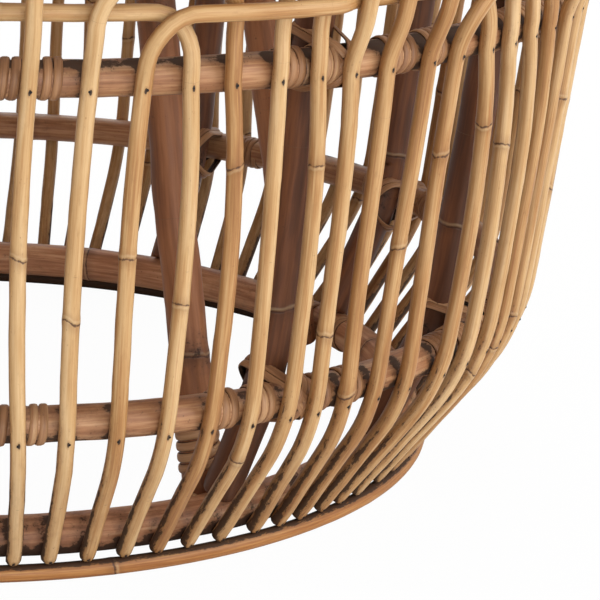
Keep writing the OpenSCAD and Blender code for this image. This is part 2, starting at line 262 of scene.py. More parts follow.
def stations_for(length, step, marks):
    """Stations a step apart, with close ones near each mark and at both ends."""
    near = np.array([-6, -4.5, -3, -2, -1.2, -0.6, 0, 0.6, 1.2, 2, 3, 4.5, 6]) * MM
    ends = np.array([0, 0.3, 0.8, 2]) * MM
    extra = [np.add.outer(marks, near).ravel()] if len(marks) else []
    s = np.concatenate([np.linspace(0, length, int(length / step) + 2), ends, length - ends, *extra])
    s = np.unique(np.round(s[(s >= 0) & (s <= length)], 5))
    return s


def cane(route, radius, sides, seed, marks=(), nails=(), step=4 * MM, closed=False, uneven=0.02, swell=0.07):
    """A cane: p(s) + r(s, a) (cos a n + sin a b).

    The radius r is the cane's own, times 1 + an uneven section of three and
    five lobes that turns slowly, + a swelling exp(-(d / 2.2 mm)^2) at a
    distance d from each growth ring. A cut end is eased by a fifth.
    """
    rng = np.random.default_rng(seed)
    total = length_along(np.vstack([route, route[:1]]) if closed else route)[-1]
    s = stations_for(total, step, list(marks))
    if closed:
        s = s[(s < total - 0.2 * step)]
        p = resample(np.vstack([route, route[:1]]), s)
    else:
        p = resample(route, s)
    _, n, b = directions(p, closed)
    joint = nearest(s, marks)
    a = 2 * np.pi * np.arange(sides) / sides
    turning = a[None, :] + wander(s, seed)[:, None]
    lobes = uneven * (np.cos(3 * turning + rng.uniform(0, 6)) + 0.7 * np.cos(5 * turning + rng.uniform(0, 6)))
    along = swell * np.exp(-((joint / (2.2 * MM)) ** 2)) + 0.4 * uneven * wander(s, seed + 1)
    if not closed:
        along = along - 0.2 * np.exp(-s / (0.4 * MM)) - 0.2 * np.exp(-(total - s) / (0.4 * MM))
    r = radius * (1 + lobes + along[:, None])
    cos, sin = np.cos(a), np.sin(a)
    rows = p[:, None] + r[..., None] * (cos[None, :, None] * n[:, None] + sin[None, :, None] * b[:, None])
    points, quads, tris = loft(rows, closed)
    spare = len(points) - rows.shape[0] * sides
    ends = np.array([[0, 0, 0], [0, 0, total]])[:spare]

    def each(values):
        """A station's value for each of its points, and for the two ends."""
        return np.concatenate([np.repeat(values, sides), values[[0, -1]][:spare]])

    return {
        "points": points, "quads": quads, "tris": tris,
        "place": np.vstack([place_on(cos, sin, s), ends]),
        "joint": each(joint), "nail": each(nearest(s, nails)),
        "tone": np.full(len(points), rng.uniform()),
    }


def add_grime_and_shade(part, amount):
    """Sets each point's amount of dirt and painted shade, from 0 to 1, by a function of its points and its
    place.
    """
    part["grime_and_shade"] = np.clip(amount(part["points"], part["place"]), 0, 1)
    return part


print("a short cane has", len(cane(polar(0, 0.2, np.linspace(0, 0.1, 9)), RIB_R, 12, 1)["points"]), "points")

# %% [markdown]
# A finished piece is several parts in one mesh. Its named numbers become
# attributes of the mesh, which its material reads, so the streaks run along
# each cane however it bends.

# %% Make a piece from its parts
ATTRIBUTES = ("joint", "nail", "tone", "grime_and_shade")
pieces = []


def make_piece(name, parts, material, body, nodes):
    """Stacks the parts' arrays, shifting their face numbers, and makes one smooth mesh object of them."""
    shift = np.cumsum([0] + [len(p["points"]) for p in parts])
    faces = []
    for p, k in zip(parts, shift):
        faces += (p["quads"] + k).tolist() + (p["tris"] + k).tolist()
    mesh = bpy.data.meshes.new(name)
    mesh.from_pydata(np.vstack([p["points"] for p in parts]).tolist(), [], faces)
    mesh.attributes.new("place", "FLOAT_VECTOR", "POINT").data.foreach_set(
        "vector", np.vstack([p["place"] for p in parts]).astype(np.float32).ravel())
    for key in ATTRIBUTES:
        values = np.concatenate([p.get(key, np.zeros(len(p["points"]))) for p in parts])
        mesh.attributes.new(key, "FLOAT", "POINT").data.foreach_set("value", values.astype(np.float32))
    mesh.polygons.foreach_set("use_smooth", np.ones(len(mesh.polygons), bool))
    mesh.materials.append(material)
    mesh.validate()
    piece = bpy.data.objects.new(name, mesh)
    bpy.context.scene.collection.objects.link(piece)
    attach(piece, body)
    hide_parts(*nodes)
    pieces.append(piece)
    return piece


# %% [markdown]
# Finishes come before the pieces. Four effects are shared by every finish, so
# each is a node group: lengthwise grain, growth rings, ingrained dirt with
# painted shade, and the bruise round a driven nail. First, two helpers for
# building node trees.

# %% Helpers for node trees
def colour(code):
    """A colour written as #rrggbb, as linear red, green, blue and alpha."""
    c = np.array([int(code[i:i + 2], 16) for i in (1, 3, 5)]) / 255
    linear = np.where(c <= 0.04045, c / 12.92, ((c + 0.055) / 1.055) ** 2.4)
    return (*linear, 1.0)


class Tree:
    """A node tree with short calls: a socket is given as a value, or as another node's output."""

    def __init__(self, tree):
        self.tree = tree

    def feed(self, socket, value):
        """Links a socket to another node's output, or sets its value."""
        if isinstance(value, bpy.types.NodeSocket):
            self.tree.links.new(value, socket)
        else:
            socket.default_value = value

    def node(self, kind, output=0, settings=None, **inputs):
        """Adds a node, sets its settings, feeds its inputs and returns an output by name or number.

        An input is named with _ for a space, or numbered as i0, i1 and so on.
        """
        node = self.tree.nodes.new(kind)
        for key, value in (settings or {}).items():
            setattr(node, key, value)
        for key, value in inputs.items():
            numbered = key[0] == "i" and key[1:].isdigit()
            self.feed(node.inputs[int(key[1:]) if numbered else key.replace("_", " ")], value)
        return node.outputs[output]

    def math(self, operation, a, b=0.0, clamp=False):
        """One math node."""
        return self.node("ShaderNodeMath", settings={"operation": operation, "use_clamp": clamp}, i0=a, i1=b)

    def times(self, a, b):
        """a times b."""
        return self.math("MULTIPLY", a, b)

    def plus(self, a, b, clamp=False):
        """a plus b."""
        return self.math("ADD", a, b, clamp)

    def less(self, a, b):
        """a less b."""
        return self.math("SUBTRACT", a, b)

    def over(self, a, b):
        """a over b."""
        return self.math("DIVIDE", a, b)

    def step(self, value, low, high, to_low=0.0, to_high=1.0):
        """A smooth step of a value from low to high."""
        return self.node(
            "ShaderNodeMapRange", settings={"interpolation_type": "SMOOTHSTEP"},
            i0=value, i1=low, i2=high, i3=to_low, i4=to_high)

    def noise(self, vector, w, scale, detail=3.0, roughness=0.55):
        """Four-dimensional noise, from 0 to 1, so that w gives each cane a pattern of its own."""
        return self.node(
            "ShaderNodeTexNoise", "Fac", {"noise_dimensions": "4D"},
            Vector=vector, W=w, Scale=scale, Detail=detail, Roughness=roughness)

    def scaled(self, vector, x, y, z):
        """A vector with its three parts scaled."""
        return self.node("ShaderNodeVectorMath", settings={"operation": "MULTIPLY"}, i0=vector, i1=(x, y, z))

    def parts(self, vector):
        """The x, y and z of a vector."""
        node = self.tree.nodes.new("ShaderNodeSeparateXYZ")
        self.tree.links.new(vector, node.inputs[0])
        return node.outputs

    def mix(self, amount, a, b):
        """A mix of two colours."""
        return self.node("ShaderNodeMix", 2, {"data_type": "RGBA"}, i0=amount, i6=a, i7=b)

    def ramp(self, value, stops):
        """A colour ramp through (position, colour) stops."""
        node = self.tree.nodes.new("ShaderNodeValToRGB")
        elements = node.color_ramp.elements
        while len(elements) < len(stops):
            elements.new(0.5)
        for element, (position, code) in zip(elements, stops):
            element.position = position
            element.color = colour(code)
        self.tree.links.new(value, node.inputs[0])
        return node.outputs[0]


def make_group(name, inputs, outputs, build):
    """A shader node group whose sockets are (name, kind) pairs; build gets the tree and the inputs."""
    group = bpy.data.node_groups.new(name, "ShaderNodeTree")
    for direction, sockets in (("INPUT", inputs), ("OUTPUT", outputs)):
        for label, kind in sockets:
            group.interface.new_socket(label, in_out=direction, socket_type="NodeSocket" + kind)
    source = group.nodes.new("NodeGroupInput")
    sink = group.nodes.new("NodeGroupOutput")
    results = build(Tree(group), {label: source.outputs[label] for label, _ in inputs})
    for label, socket in results.items():
        group.links.new(socket, sink.inputs[label])
    return group


# %% [markdown]
# Grain runs along a cane as fine streaks, with amber veins and short flecks.
# Noise is read at the point's place on the cane, drawn out along its length.

# %% The lengthwise grain group
def build_grain(t, given):
    """Streaks, veins, flecks and fibre height from noises stretched along the cane."""
    w = t.times(given["Tone"], 90.0)
    fine = t.noise(t.scaled(given["Place"], 3.4, 3.4, 26), w, 1.6, 4.0, 0.62)
    broad = t.noise(t.scaled(given["Place"], 0.8, 0.8, 16), w, 1.3, 2.0)
    veins = t.noise(t.scaled(given["Place"], 1.9, 1.9, 11), t.plus(w, 7.0), 1.4, 3.0, 0.6)
    spots = t.noise(t.scaled(given["Place"], 4.5, 4.5, 620), t.plus(w, 3.0), 1.0, 2.0, 0.5)
    crowd = t.noise(t.scaled(given["Place"], 0.5, 0.5, 24), t.plus(w, 5.0), 1.0, 2.0)
    return {
        "Streak": t.step(fine, 0.32, 0.68),
        "Patch": t.step(broad, 0.35, 0.66),
        "Vein": t.step(veins, 0.60, 0.74),
        "Fleck": t.times(t.step(spots, 0.66, 0.74), t.step(crowd, 0.42, 0.66)),
        "Height": fine,
    }


grain_group = make_group(
    "Lengthwise grain", [("Place", "Vector"), ("Tone", "Float")],
    [(label, "Float") for label in ("Streak", "Patch", "Vein", "Fleck", "Height")], build_grain)


# %% [markdown]
# A growth ring is a hair-thin dark line that wavers and doesn't run quite
# square across the cane, broken in places, with a paler lip beside it.

# %% The growth ring group
def build_growth_ring(t, given):
    """Distance to the ring, tilted and bent by noise, made a dark line and a lip."""
    w = t.times(given["Tone"], 70.0)
    waver = t.noise(t.scaled(given["Place"], 1.0, 1.0, 20), w, 1.0, 1.0, 0.5)
    broken = t.noise(t.scaled(given["Place"], 2.4, 2.4, 500), w, 1.0, 3.0, 0.65)
    shift = t.times(t.less(waver, 0.5), 0.0030)
    slope = t.times(t.less(given["Tone"], 0.5), 0.0030)
    tilt = t.times(t.parts(given["Place"])[1], slope)
    distance = t.plus(t.plus(given["Distance"], shift), tilt)
    away = t.math("ABSOLUTE", distance)
    width = t.times(t.step(broken, 0.3, 0.72), 0.0006)
    lip = t.step(t.math("ABSOLUTE", t.less(distance, 0.0011)), 0.0, 0.0010, 1.0, 0.0)
    return {
        "Line": t.step(t.less(away, width), -0.0002, 0.00025, 1.0, 0.0),
        "Smoke": t.step(away, 0.0004, 0.0050, 1.0, 0.0),
        "Lip": lip,
        "Height": t.less(lip, t.step(away, 0.0001, 0.0007, 1.0, 0.0)),
    }


ring_group = make_group(
    "Growth ring", [("Distance", "Float"), ("Place", "Vector"), ("Tone", "Float")],
    [(label, "Float") for label in ("Line", "Smoke", "Lip", "Height")], build_growth_ring)


# %% [markdown]
# Dirt gathers where a cloth can't reach, and painted shade is laid the same
# way where shade falls. The mesh says roughly where, and noise breaks the
# edge of it into ragged blotches and specks.

# %% The ingrained dirt and painted shade group
def build_dirt_and_shade(t, given):
    """Dirt and painted shade where noise falls below the amount given, and specks where it nearly does."""
    w = t.times(given["Tone"], 50.0)
    blotch = t.noise(t.scaled(given["Place"], 1.9, 1.9, 190), w, 1.0, 6.0, 0.74)
    speck = t.noise(t.scaled(given["Place"], 4.0, 4.0, 1100), w, 1.0, 2.0, 0.6)
    edge = t.less(given["Amount"], blotch)
    specks = t.times(t.step(speck, 0.60, 0.68), t.step(edge, -0.30, -0.02))
    return {
        "Mask": t.math("MAXIMUM", t.step(edge, -0.03, 0.07), t.times(specks, 0.8)),
        "Haze": t.step(edge, -0.38, 0.10),
    }


dirt_and_shade_group = make_group(
    "Ingrained dirt and painted shade", [("Amount", "Float"), ("Place", "Vector"), ("Tone", "Float")],
    [("Mask", "Float"), ("Haze", "Float")], build_dirt_and_shade)


# %% [markdown]
# A nail splits the skin of a cane a little. The bruise is a dark slot longer
# than it is wide, on the side that faces out, round the nail's dull crown.

# %% The nail bruise group
def build_bruise(t, given):
    """An ellipse round the nail: across the cane by its sine, along it by the distance, on the outer side."""
    w = t.times(given["Tone"], 30.0)
    parts = t.parts(given["Place"])
    jitter = t.noise(t.scaled(given["Place"], 3.0, 3.0, 700), w, 1.0, 3.0, 0.6)
    across = t.over(parts[1], 0.17)
    along = t.over(given["Distance"], 0.0012)
    size = t.plus(t.times(across, across), t.times(along, along))
    size = t.plus(size, t.times(t.less(jitter, 0.5), 1.7))
    outer = t.step(parts[0], 0.2, 0.5)
    return {
        "Mask": t.times(t.step(size, 0.7, 1.15, 1.0, 0.0), outer),
        "Halo": t.times(t.step(size, 0.8, 4.0, 1.0, 0.0), outer),
    }


bruise_group = make_group(
    "Nail bruise", [("Distance", "Float"), ("Place", "Vector"), ("Tone", "Float")],
    [("Mask", "Float"), ("Halo", "Float")], build_bruise)

# %% [markdown]
# One function builds every cane finish. The base colour runs from browner to
# paler straw by patch, streak and the cane's own tone, and is browner round
# the sides as painted shade, where a round cane turns from the light. Growth
# rings, bruises, and dirt with painted shade go over it, and the same masks
# roughen it and raise it.

# %% Build a cane finish
DIRT_AND_SHADE_COLOUR = colour("#2b1b12")
RING_COLOUR = colour("#43281a")
VEIN_COLOUR = colour("#a8622c")
LIP_COLOUR = colour("#e9cfa0")
DUST_AND_SHEEN_COLOUR = colour("#b9aa9c")


def attribute(t, name, vector=False):
    """One of the mesh's named numbers."""
    return t.node("ShaderNodeAttribute", "Vector" if vector else "Fac", {"attribute_name": name})


def place_group(t, group, **inputs):
    """A group node with its inputs fed, as a dictionary of its outputs."""
    node = t.tree.nodes.new("ShaderNodeGroup")
    node.node_tree = group
    for label, socket in inputs.items():
        t.tree.links.new(socket, node.inputs[label])
    return {o.name: o for o in node.outputs}


def cane_finish(name, stops, ring_code, roughness, tone_share=0.45, side=None, vein=0.0, dust_and_sheen=0.0, bump=0.3):
    """A Principled material whose colour, roughness and bump come from the four groups."""
    material = bpy.data.materials.new(name)
    material.use_nodes = True
    t = Tree(material.node_tree)
    shader = material.node_tree.nodes["Principled BSDF"]
    place = attribute(t, "place", vector=True)
    tone, joint = attribute(t, "tone"), attribute(t, "joint")
    nail, grime_and_shade = attribute(t, "nail"), attribute(t, "grime_and_shade")
    grain = place_group(t, grain_group, Place=place, Tone=tone)
    ring = place_group(t, ring_group, Distance=joint, Place=place, Tone=tone)
    bruise = place_group(t, bruise_group, Distance=nail, Place=place, Tone=tone)
    dirt = place_group(t, dirt_and_shade_group, Amount=grime_and_shade, Place=place, Tone=tone)
    shade = t.times(tone, tone_share)
    shade = t.plus(shade, t.times(grain["Patch"], 0.30))
    shade = t.plus(shade, t.times(grain["Streak"], 0.70 - tone_share))
    base = t.ramp(shade, stops)
    ring_colour = colour(ring_code)
    # Painted shade: the base colour turns browner round the sides of a cane, away from its outer face, and
    # less so on its inner face.
    if side:
        side_shade_share, side_shade_code = side
        facing = t.parts(place)[0]
        inner_side = t.step(facing, -0.7, -0.1, 0.35, 1.0)
        painted_side_shade = t.times(t.step(facing, 0.85, 0.0, 0.0, side_shade_share), inner_side)
        painted_side_shade = t.times(painted_side_shade, t.plus(t.times(grain["Streak"], -0.45), 1.1))
        base = t.mix(painted_side_shade, base, colour(side_shade_code))
    layers = [
        (grain["Vein"], vein, VEIN_COLOUR), (grain["Fleck"], 0.6, ring_colour),
        (ring["Smoke"], 0.30, ring_colour), (ring["Lip"], 0.20, LIP_COLOUR),
        (bruise["Halo"], 0.30, ring_colour), (dirt["Haze"], 0.50, ring_colour),
        (ring["Line"], 0.85, RING_COLOUR)]
    # Paler grey on upward faces: dust, and a painted sheen where the light falls from above.
    if dust_and_sheen:
        upward = t.step(t.parts(t.node("ShaderNodeNewGeometry", "Normal"))[2], 0.50, 0.92)
        layers.append((t.times(upward, grain["Patch"]), dust_and_sheen, DUST_AND_SHEEN_COLOUR))
    # The dirt masks lay dirt and painted shade alike.
    layers += [(dirt["Mask"], 0.86, DIRT_AND_SHADE_COLOUR), (bruise["Mask"], 0.93, DIRT_AND_SHADE_COLOUR)]
    for mask, share, over in layers:
        if share:
            base = t.mix(t.times(mask, share), base, over)
    t.tree.links.new(base, shader.inputs["Base Color"])
    rough = t.plus(t.times(grain["Streak"], 0.12), roughness - 0.06)
    rough = t.plus(rough, t.times(dirt["Mask"], 0.25), clamp=True)
    t.tree.links.new(rough, shader.inputs["Roughness"])
    height = t.plus(t.times(grain["Height"], 0.45), ring["Height"])
    height = t.plus(height, t.times(dirt["Mask"], 0.25))
    height = t.less(height, t.times(bruise["Mask"], 0.8))
    bumped = t.node("ShaderNodeBump", "Normal", Strength=bump, Distance=0.0006, Height=height)
    t.tree.links.new(bumped, shader.inputs["Normal"])
    shader.inputs["Specular IOR Level"].default_value = 0.38
    return material


# A finish's side setting paints shade round the sides of its canes, and its dust setting lays dust with a
# painted sheen on upward faces.
straw = cane_finish(
    "Straw rib cane",
    [(0.0, "#885830"), (0.3, "#ab7d4c"), (0.55, "#c19a69"), (1.0, "#d7b88c")], "#74461f", 0.44,
    side=(0.62, "#94693f"), vein=0.4)
brown = cane_finish(
    "Brown ring pole",
    [(0.0, "#865739"), (0.35, "#a0704d"), (0.65, "#b4865f"), (1.0, "#c79e76")], "#4a2f20", 0.46,
    tone_share=0.1, side=(0.25, "#80543a"), dust_and_sheen=0.15, bump=0.4)
russet = cane_finish(
    "Russet inner pole",
    [(0.0, "#46291a"), (0.35, "#623b24"), (0.7, "#8a5634"), (1.0, "#a87048")], "#4a2f20", 0.45,
    tone_share=0.5)
umber = cane_finish(
    "Umber base pole",
    [(0.0, "#8a5a3d"), (0.4, "#ad7754"), (0.7, "#c28e68"), (1.0, "#d4ab83")], "#3e281c", 0.48,
    tone_share=0.1)
honey = cane_finish(
    "Honey trim cane",
    [(0.0, "#8a552b"), (0.4, "#a06a38"), (0.7, "#b07c46"), (1.0, "#c3925c")], "#5e3c22", 0.44,
    tone_share=0.1, vein=0.25)
peel = cane_finish(
    "Split cane lashing",
    [(0.0, "#6e4930"), (0.35, "#8d6444"), (0.65, "#a67b56"), (1.0, "#bf9870")], "#4a2f20", 0.48,
    tone_share=0.4)
wicker = cane_finish(
    "Woven tray cane",
    [(0.0, "#b07c45"), (0.35, "#c6975d"), (0.65, "#d3a970"), (1.0, "#e2c18e")], "#5e3c22", 0.48)
print("finishes:", [m.name for m in (straw, brown, russet, umber, honey, peel, wicker)])

# %% [markdown]
# Nails are blackened iron, mottled duller and brighter in small patches.

# %% Build the nail finish
iron = bpy.data.materials.new("Blackened iron nail")
iron.use_nodes = True
iron_tree = Tree(iron.node_tree)
iron_shader = iron.node_tree.nodes["Principled BSDF"]
iron_noise = iron_tree.noise(
    iron_tree.node("ShaderNodeTexCoord", "Object"), 0.0, 900.0, 3.0, 0.6)
iron_tree.tree.links.new(
    iron_tree.ramp(iron_noise, [(0.3, "#1c1714"), (0.6, "#2e2723"), (0.8, "#51463d")]),
    iron_shader.inputs["Base Color"])
iron_tree.tree.links.new(iron_tree.step(iron_noise, 0.3, 0.7, 0.7, 0.45), iron_shader.inputs["Roughness"])
iron_shader.inputs["Metallic"].default_value = 0.6
print("made", iron.name)

# %% [markdown]
# A hoop is one cane: up from its foot, round a corner, across as a bar and
# down again. Four hoops nest in a family, and neighbouring families overlap.
# The left half of each hoop passes outside its neighbours, the right half
# inside, which locks the cage together without a single knot.

# %% Work out a hoop's route
BAR_RISE, BAR_STEP = 23.8 * MM, 14.4 * MM
CORNER_HEIGHT, CORNER_WIDTH, CORNER_GROWTH = 17 * MM, 15 * MM, 2 * MM
LAYER, LAYER_CLIMB = RIB_R + 0.45 * MM, 19 * MM


def ease(t):
    """A smooth step from 0 to 1 as t goes from 0 to 1."""
    t = np.clip(t, 0, 1)
    return t * t * (3 - 2 * t)


def leg_line():
    """Radii and heights of a leg: foot line, knee arc and wall line, up to the upper ring."""
    bend = np.linspace(LOW_ANGLE, WALL_ANGLE, 16)
    bend_r, bend_z = on_bend(bend)
    low = np.linspace(rib_end_z, bend_z[0], 12, endpoint=False)
    high = np.linspace(bend_z[-1], upper_z, 30, endpoint=False)[1:]
    z = np.concatenate([low, bend_z, high])
    r = np.concatenate([path_r(low), bend_r, path_r(high)])
    return r, z


def sideways(h, rise):
    """How far hoop h has moved towards its bar: nothing until its top, then a quarter of an ellipse."""
    height = CORNER_HEIGHT + CORNER_GROWTH * h
    s = np.clip((rise - (BAR_RISE + BAR_STEP * h - height)) / height, 0, 1)
    return (CORNER_WIDTH + CORNER_GROWTH * h) * (1 - np.sqrt(1 - s * s))


def corner_line(i, h, side):
    """A leg above the ring and its turn into the bar, climbing onto its layer as it goes."""
    height = CORNER_HEIGHT + CORNER_GROWTH * h
    start = BAR_RISE + BAR_STEP * h - height
    straight = np.linspace(0, start, 2 + int(start / (2 * MM)), endpoint=False)
    rise = np.concatenate([straight, start + height * np.sin(np.linspace(0, np.pi / 2, 22))])
    z = upper_z + rise
    r = path_r(z)
    azimuth = rib_azimuth(i, z) + side * np.degrees(sideways(h, rise) / r)
    return azimuth, r + side * LAYER * ease(rise / LAYER_CLIMB), z


def bar_line(first, last, h):
    """The bar at one height, easing from the outer layer to the inner layer in the gap between two legs."""
    rise = BAR_RISE + BAR_STEP * h
    z = upper_z + rise
    r = path_r(z)
    turn = np.degrees(sideways(h, rise) / r)
    azimuth = np.linspace(rib_azimuth(first, z) + turn, rib_azimuth(last, z) - turn, 60)[1:-1]
    gap = first + h + HOOPS
    half = (rib_azimuth(gap + 1, z) - rib_azimuth(gap, z)) / 2 + 0.1 * PITCH * h
    across = ease((azimuth - gap_azimuth(gap, z) + half) / (2 * half))
    return azimuth, r + LAYER * (1 - 2 * across), np.full(58, z)


def hoop_route(family, h):
    """A hoop's points from its left foot to its right foot."""
    first = 2 * HOOPS * family - h
    last = first + INNER_SPAN + 2 * h
    r, z = leg_line()
    left, right = corner_line(first, h, 1), corner_line(last, h, -1)
    bar = bar_line(first, last, h)
    azimuth = np.concatenate([
        rib_azimuth(first, z), left[0], bar[0], right[0][::-1], rib_azimuth(last, z)[::-1]])
    radius = np.concatenate([r, left[1], bar[1], right[1][::-1], r[::-1]])
    height = np.concatenate([z, left[2], bar[2], right[2][::-1], z[::-1]])
    return first, last, polar(azimuth, radius, height)


print("outermost hoop is", round(float(length_along(hoop_route(0, 3)[2])[-1]), 3), "m long")

# %% [markdown]
# Each hoop has three nails in each leg, one for each ring. Growth rings come
# at the plant's own spacing. Dirt and painted shade are heaviest low down,
# between the ribs, and where a rib presses on a ring.

# %% Bend the hoops
RING_HEIGHTS = (upper_z, knee_z, base_z)
BASE_NAIL_LIFT = 1.5 * MM
DIRT_SPREAD = 9 * MM
base_nail_z = base_z - (base_d / 2 + RIB_R + CLEARANCE) * np.sin(LOW_ANGLE) + BASE_NAIL_LIFT
NAIL_HEIGHTS = np.array([contact_z, on_bend(KNEE_ANGLE)[1], base_nail_z])
# Height in millimetres of the first growth ring on some of the front ribs.
FRONT_GROWTH = {
    -2: 135, -1: 110, 0: 134, 1: 104, 2: 178, 3: 100, 4: 62, 5: 96, 6: 72, 8: 158, 9: 166, 10: 152}


def marks_for(route, seed, first, last):
    """Growth rings: one in each leg, at a known height on front ribs, and one between if they are far off."""
    s = length_along(route)
    rng = np.random.default_rng(seed)
    top = int(len(route) / 2)
    marks = []
    for leg, half in ((first, slice(0, top)), (last, slice(top, None))):
        stations, heights = s[half], route[half, 2]
        if leg in FRONT_GROWTH:
            marks.append(stations[np.abs(heights - FRONT_GROWTH[leg] * MM).argmin()])
        else:
            marks.append(rng.uniform(0.06, 0.17) if leg == first else s[-1] - rng.uniform(0.04, 0.17))
    if marks[1] - marks[0] > 0.33:
        marks.append(marks[0] + (marks[1] - marks[0]) * rng.uniform(0.42, 0.58))
    return sorted(marks)


def nails_for(route):
    """Where along a hoop its nails are: the distances at which each leg passes the nails' heights."""
    s = length_along(route)
    top = int(len(route) / 2)
    rising = np.interp(NAIL_HEIGHTS, route[:top, 2], s[:top])
    falling = np.interp(NAIL_HEIGHTS, route[:top - 1:-1, 2], s[:top - 1:-1])
    return [*rising, *falling]


def rib_dirt_and_shade(points, place):
    """Dirt and painted crevice shade: more low down, at each ring and at the foot, thickest round the sides
    of a cane, least on its outer face.
    """
    z = points[:, 2]
    low = 0.52 * ease((88 * MM - z) / (62 * MM))
    at_rings = sum(
        k * np.exp(-(((z - ring) / DIRT_SPREAD) ** 2)) for ring, k in zip(RING_HEIGHTS, (0.22, 0.25, 0.3)))
    out = place[:, 0]
    # The sides of a rib, facing its neighbours, take painted shade as well as dirt; its outer face takes
    # least.
    sides = 0.30 + 0.75 * np.exp(-(((out - 0.1) / 0.46) ** 2)) - 0.28 * ease((out - 0.4) / 0.5)
    return np.minimum(0.14 + (low + at_rings) * sides, 0.64) + 0.3 * ease((11 * MM - z) / (5 * MM))


def make_hoop(family, h):
    """One hoop as a cane, with its own thickness, growth rings, nails, and dirt with painted shade."""
    first, last, route = hoop_route(family, h)
    seed = 100 + family * HOOPS + h
    s = length_along(route)
    _, n, b = directions(route)
    bow = wander(s, seed + 300, (0.4, 0.17), (0.4 * MM, 0.15 * MM))
    route = route + bow[:, None] * b + (0.1 * MM * wander(s, seed + 600))[:, None] * n
    radius = RIB_R * np.random.default_rng(seed).uniform(0.96, 1.03)
    part = cane(route, radius, 14, seed, marks_for(route, seed, first, last), nails_for(route))
    return add_grime_and_shade(part, rib_dirt_and_shade)


for family in range(FAMILIES):
    hoops = [make_hoop(family, h) for h in range(HOOPS)]
    for half, canes in (("inner", hoops[:2]), ("outer", hoops[2:])):
        name, node = f"{half}_canes_{family + 1:02d}", f"{half}_hoops_{family + 1}"
        make_piece(name, canes, straw, "cage", [node])
print("bent", FAMILIES * HOOPS, "hoops")

# %% [markdown]
# The rings are whole rattan pole. They are darker than the ribs and still
# have their growth rings. Their tops are grey with old dust and a painted
# sheen, and black beside the ribs with dirt and painted contact shade;
# painted shade also darkens their undersides.

# %% Bend the ring poles
RING_POINTS = 720


def circle_route(r, z, seed, sway=0.5 * MM):
    """A circle of points, wandering a little in radius and height and meeting itself again."""
    azimuth = np.arange(RING_POINTS) * 360 / RING_POINTS
    a = np.radians(azimuth)
    phases = np.random.default_rng(seed).uniform(0, 2 * np.pi, 4)
    dr = sway * (np.sin(2 * a + phases[0]) + 0.5 * np.sin(5 * a + phases[1])) / 1.5
    dz = sway * (np.sin(3 * a + phases[2]) + 0.5 * np.sin(7 * a + phases[3])) / 3
    return polar(azimuth, r + dr, z + dz)


def ring_dirt_and_shade(z_ribs, reach=3.1 * MM, above=0.0, below=0.0):
    """Dirt on a ring's outer side along its top, dirt and painted contact shade beside the nearest rib, and
    painted shade along its underside.
    """
    ribs = np.sort(np.mod(rib_azimuth(np.arange(RIBS), z_ribs), 360))

    def amount(points, place):
        azimuth = np.mod(np.degrees(np.arctan2(points[:, 0], -points[:, 1])), 360)
        k = np.searchsorted(ribs, azimuth)
        gap = np.minimum(np.abs(azimuth - ribs[k % RIBS]), np.abs(azimuth - ribs[k - 1]))
        gap = np.minimum(gap, 360 - gap)
        d = np.radians(gap) * np.hypot(points[:, 0], points[:, 1])
        # Dirt and painted contact shade beside each rib, where it presses on the ring.
        beside = np.exp(-((d / reach) ** 2))
        outer = ease((place[:, 0] + 0.35) / 0.7)
        patches = 0.10 * np.sin(np.radians(azimuth * 9) + 1.3 * np.sin(np.radians(azimuth * 4)))
        top = above * (0.8 + 0.4 * beside) * ease((-place[:, 1] - 0.45) / 0.4)
        # Painted shade along the ring's underside.
        underside = below * (0.7 + 0.3 * beside) * ease((place[:, 1] - 0.05) / 0.5)
        return 0.15 + patches + outer * (0.38 * beside + top + underside)

    return amount


def make_ring(name, r, z, d, material, seed, growth, dirt):
    """A ring of pole, with growth rings at these azimuths."""
    route = circle_route(r, z, seed)
    marks = [np.radians(azimuth) * r for azimuth in growth]
    part = cane(route, d / 2, 20, seed, marks, step=2.2 * MM, closed=True, uneven=0.012, swell=0.035)
    return make_piece(name + "_pole", [add_grime_and_shade(part, dirt)], material, "cage", [name])


def support_dirt(points, place):
    """A light, even film."""
    return np.full(len(points), 0.12)


RING_TABLE = [
    ("upper_ring", upper_r, upper_z, (28, 78, 131, 187, 236, 290, 347),
     ring_dirt_and_shade(contact_z, above=0.5, below=0.1)),
    ("knee_ring", knee_r, knee_z, (66, 122, 171, 229, 280, 339), ring_dirt_and_shade(knee_z, above=0.1, below=0.38)),
    ("base_ring", base_r, base_z, (43, 101, 160, 219, 277, 331), ring_dirt_and_shade(base_z, 5 * MM, below=0.5)),
    ("rim_ring", rim_r, rim_z, (10, 59, 118, 166, 222, 271, 330), ring_dirt_and_shade(rim_z, above=0.3)),
    ("support_ring", support_r, support_z, (5, 88, 175, 262), support_dirt)]
for k, (node, r, z, growth, dirt) in enumerate(RING_TABLE):
    if node == "base_ring":
        make_ring(node, r, z, base_d, umber, 11 + k, growth, dirt)
    else:
        make_ring(node, r, z, pole_d, brown, 11 + k, growth, dirt)
print("bent five rings")

# %% [markdown]
# The trim cane lies round the foot, under the cut ends of the ribs. Its
# underside is worn flat where the basket stands on it.

# %% Bend the trim cane
def trim_darkening(points, place):
    """Darker on the inner side and the top, where the ribs end."""
    above = place[:, 1] * np.sign(trim_side)
    return 0.12 + 0.55 * ease((above - 0.35) / 0.5) + 0.75 * ease((0.1 - place[:, 0]) / 0.5)


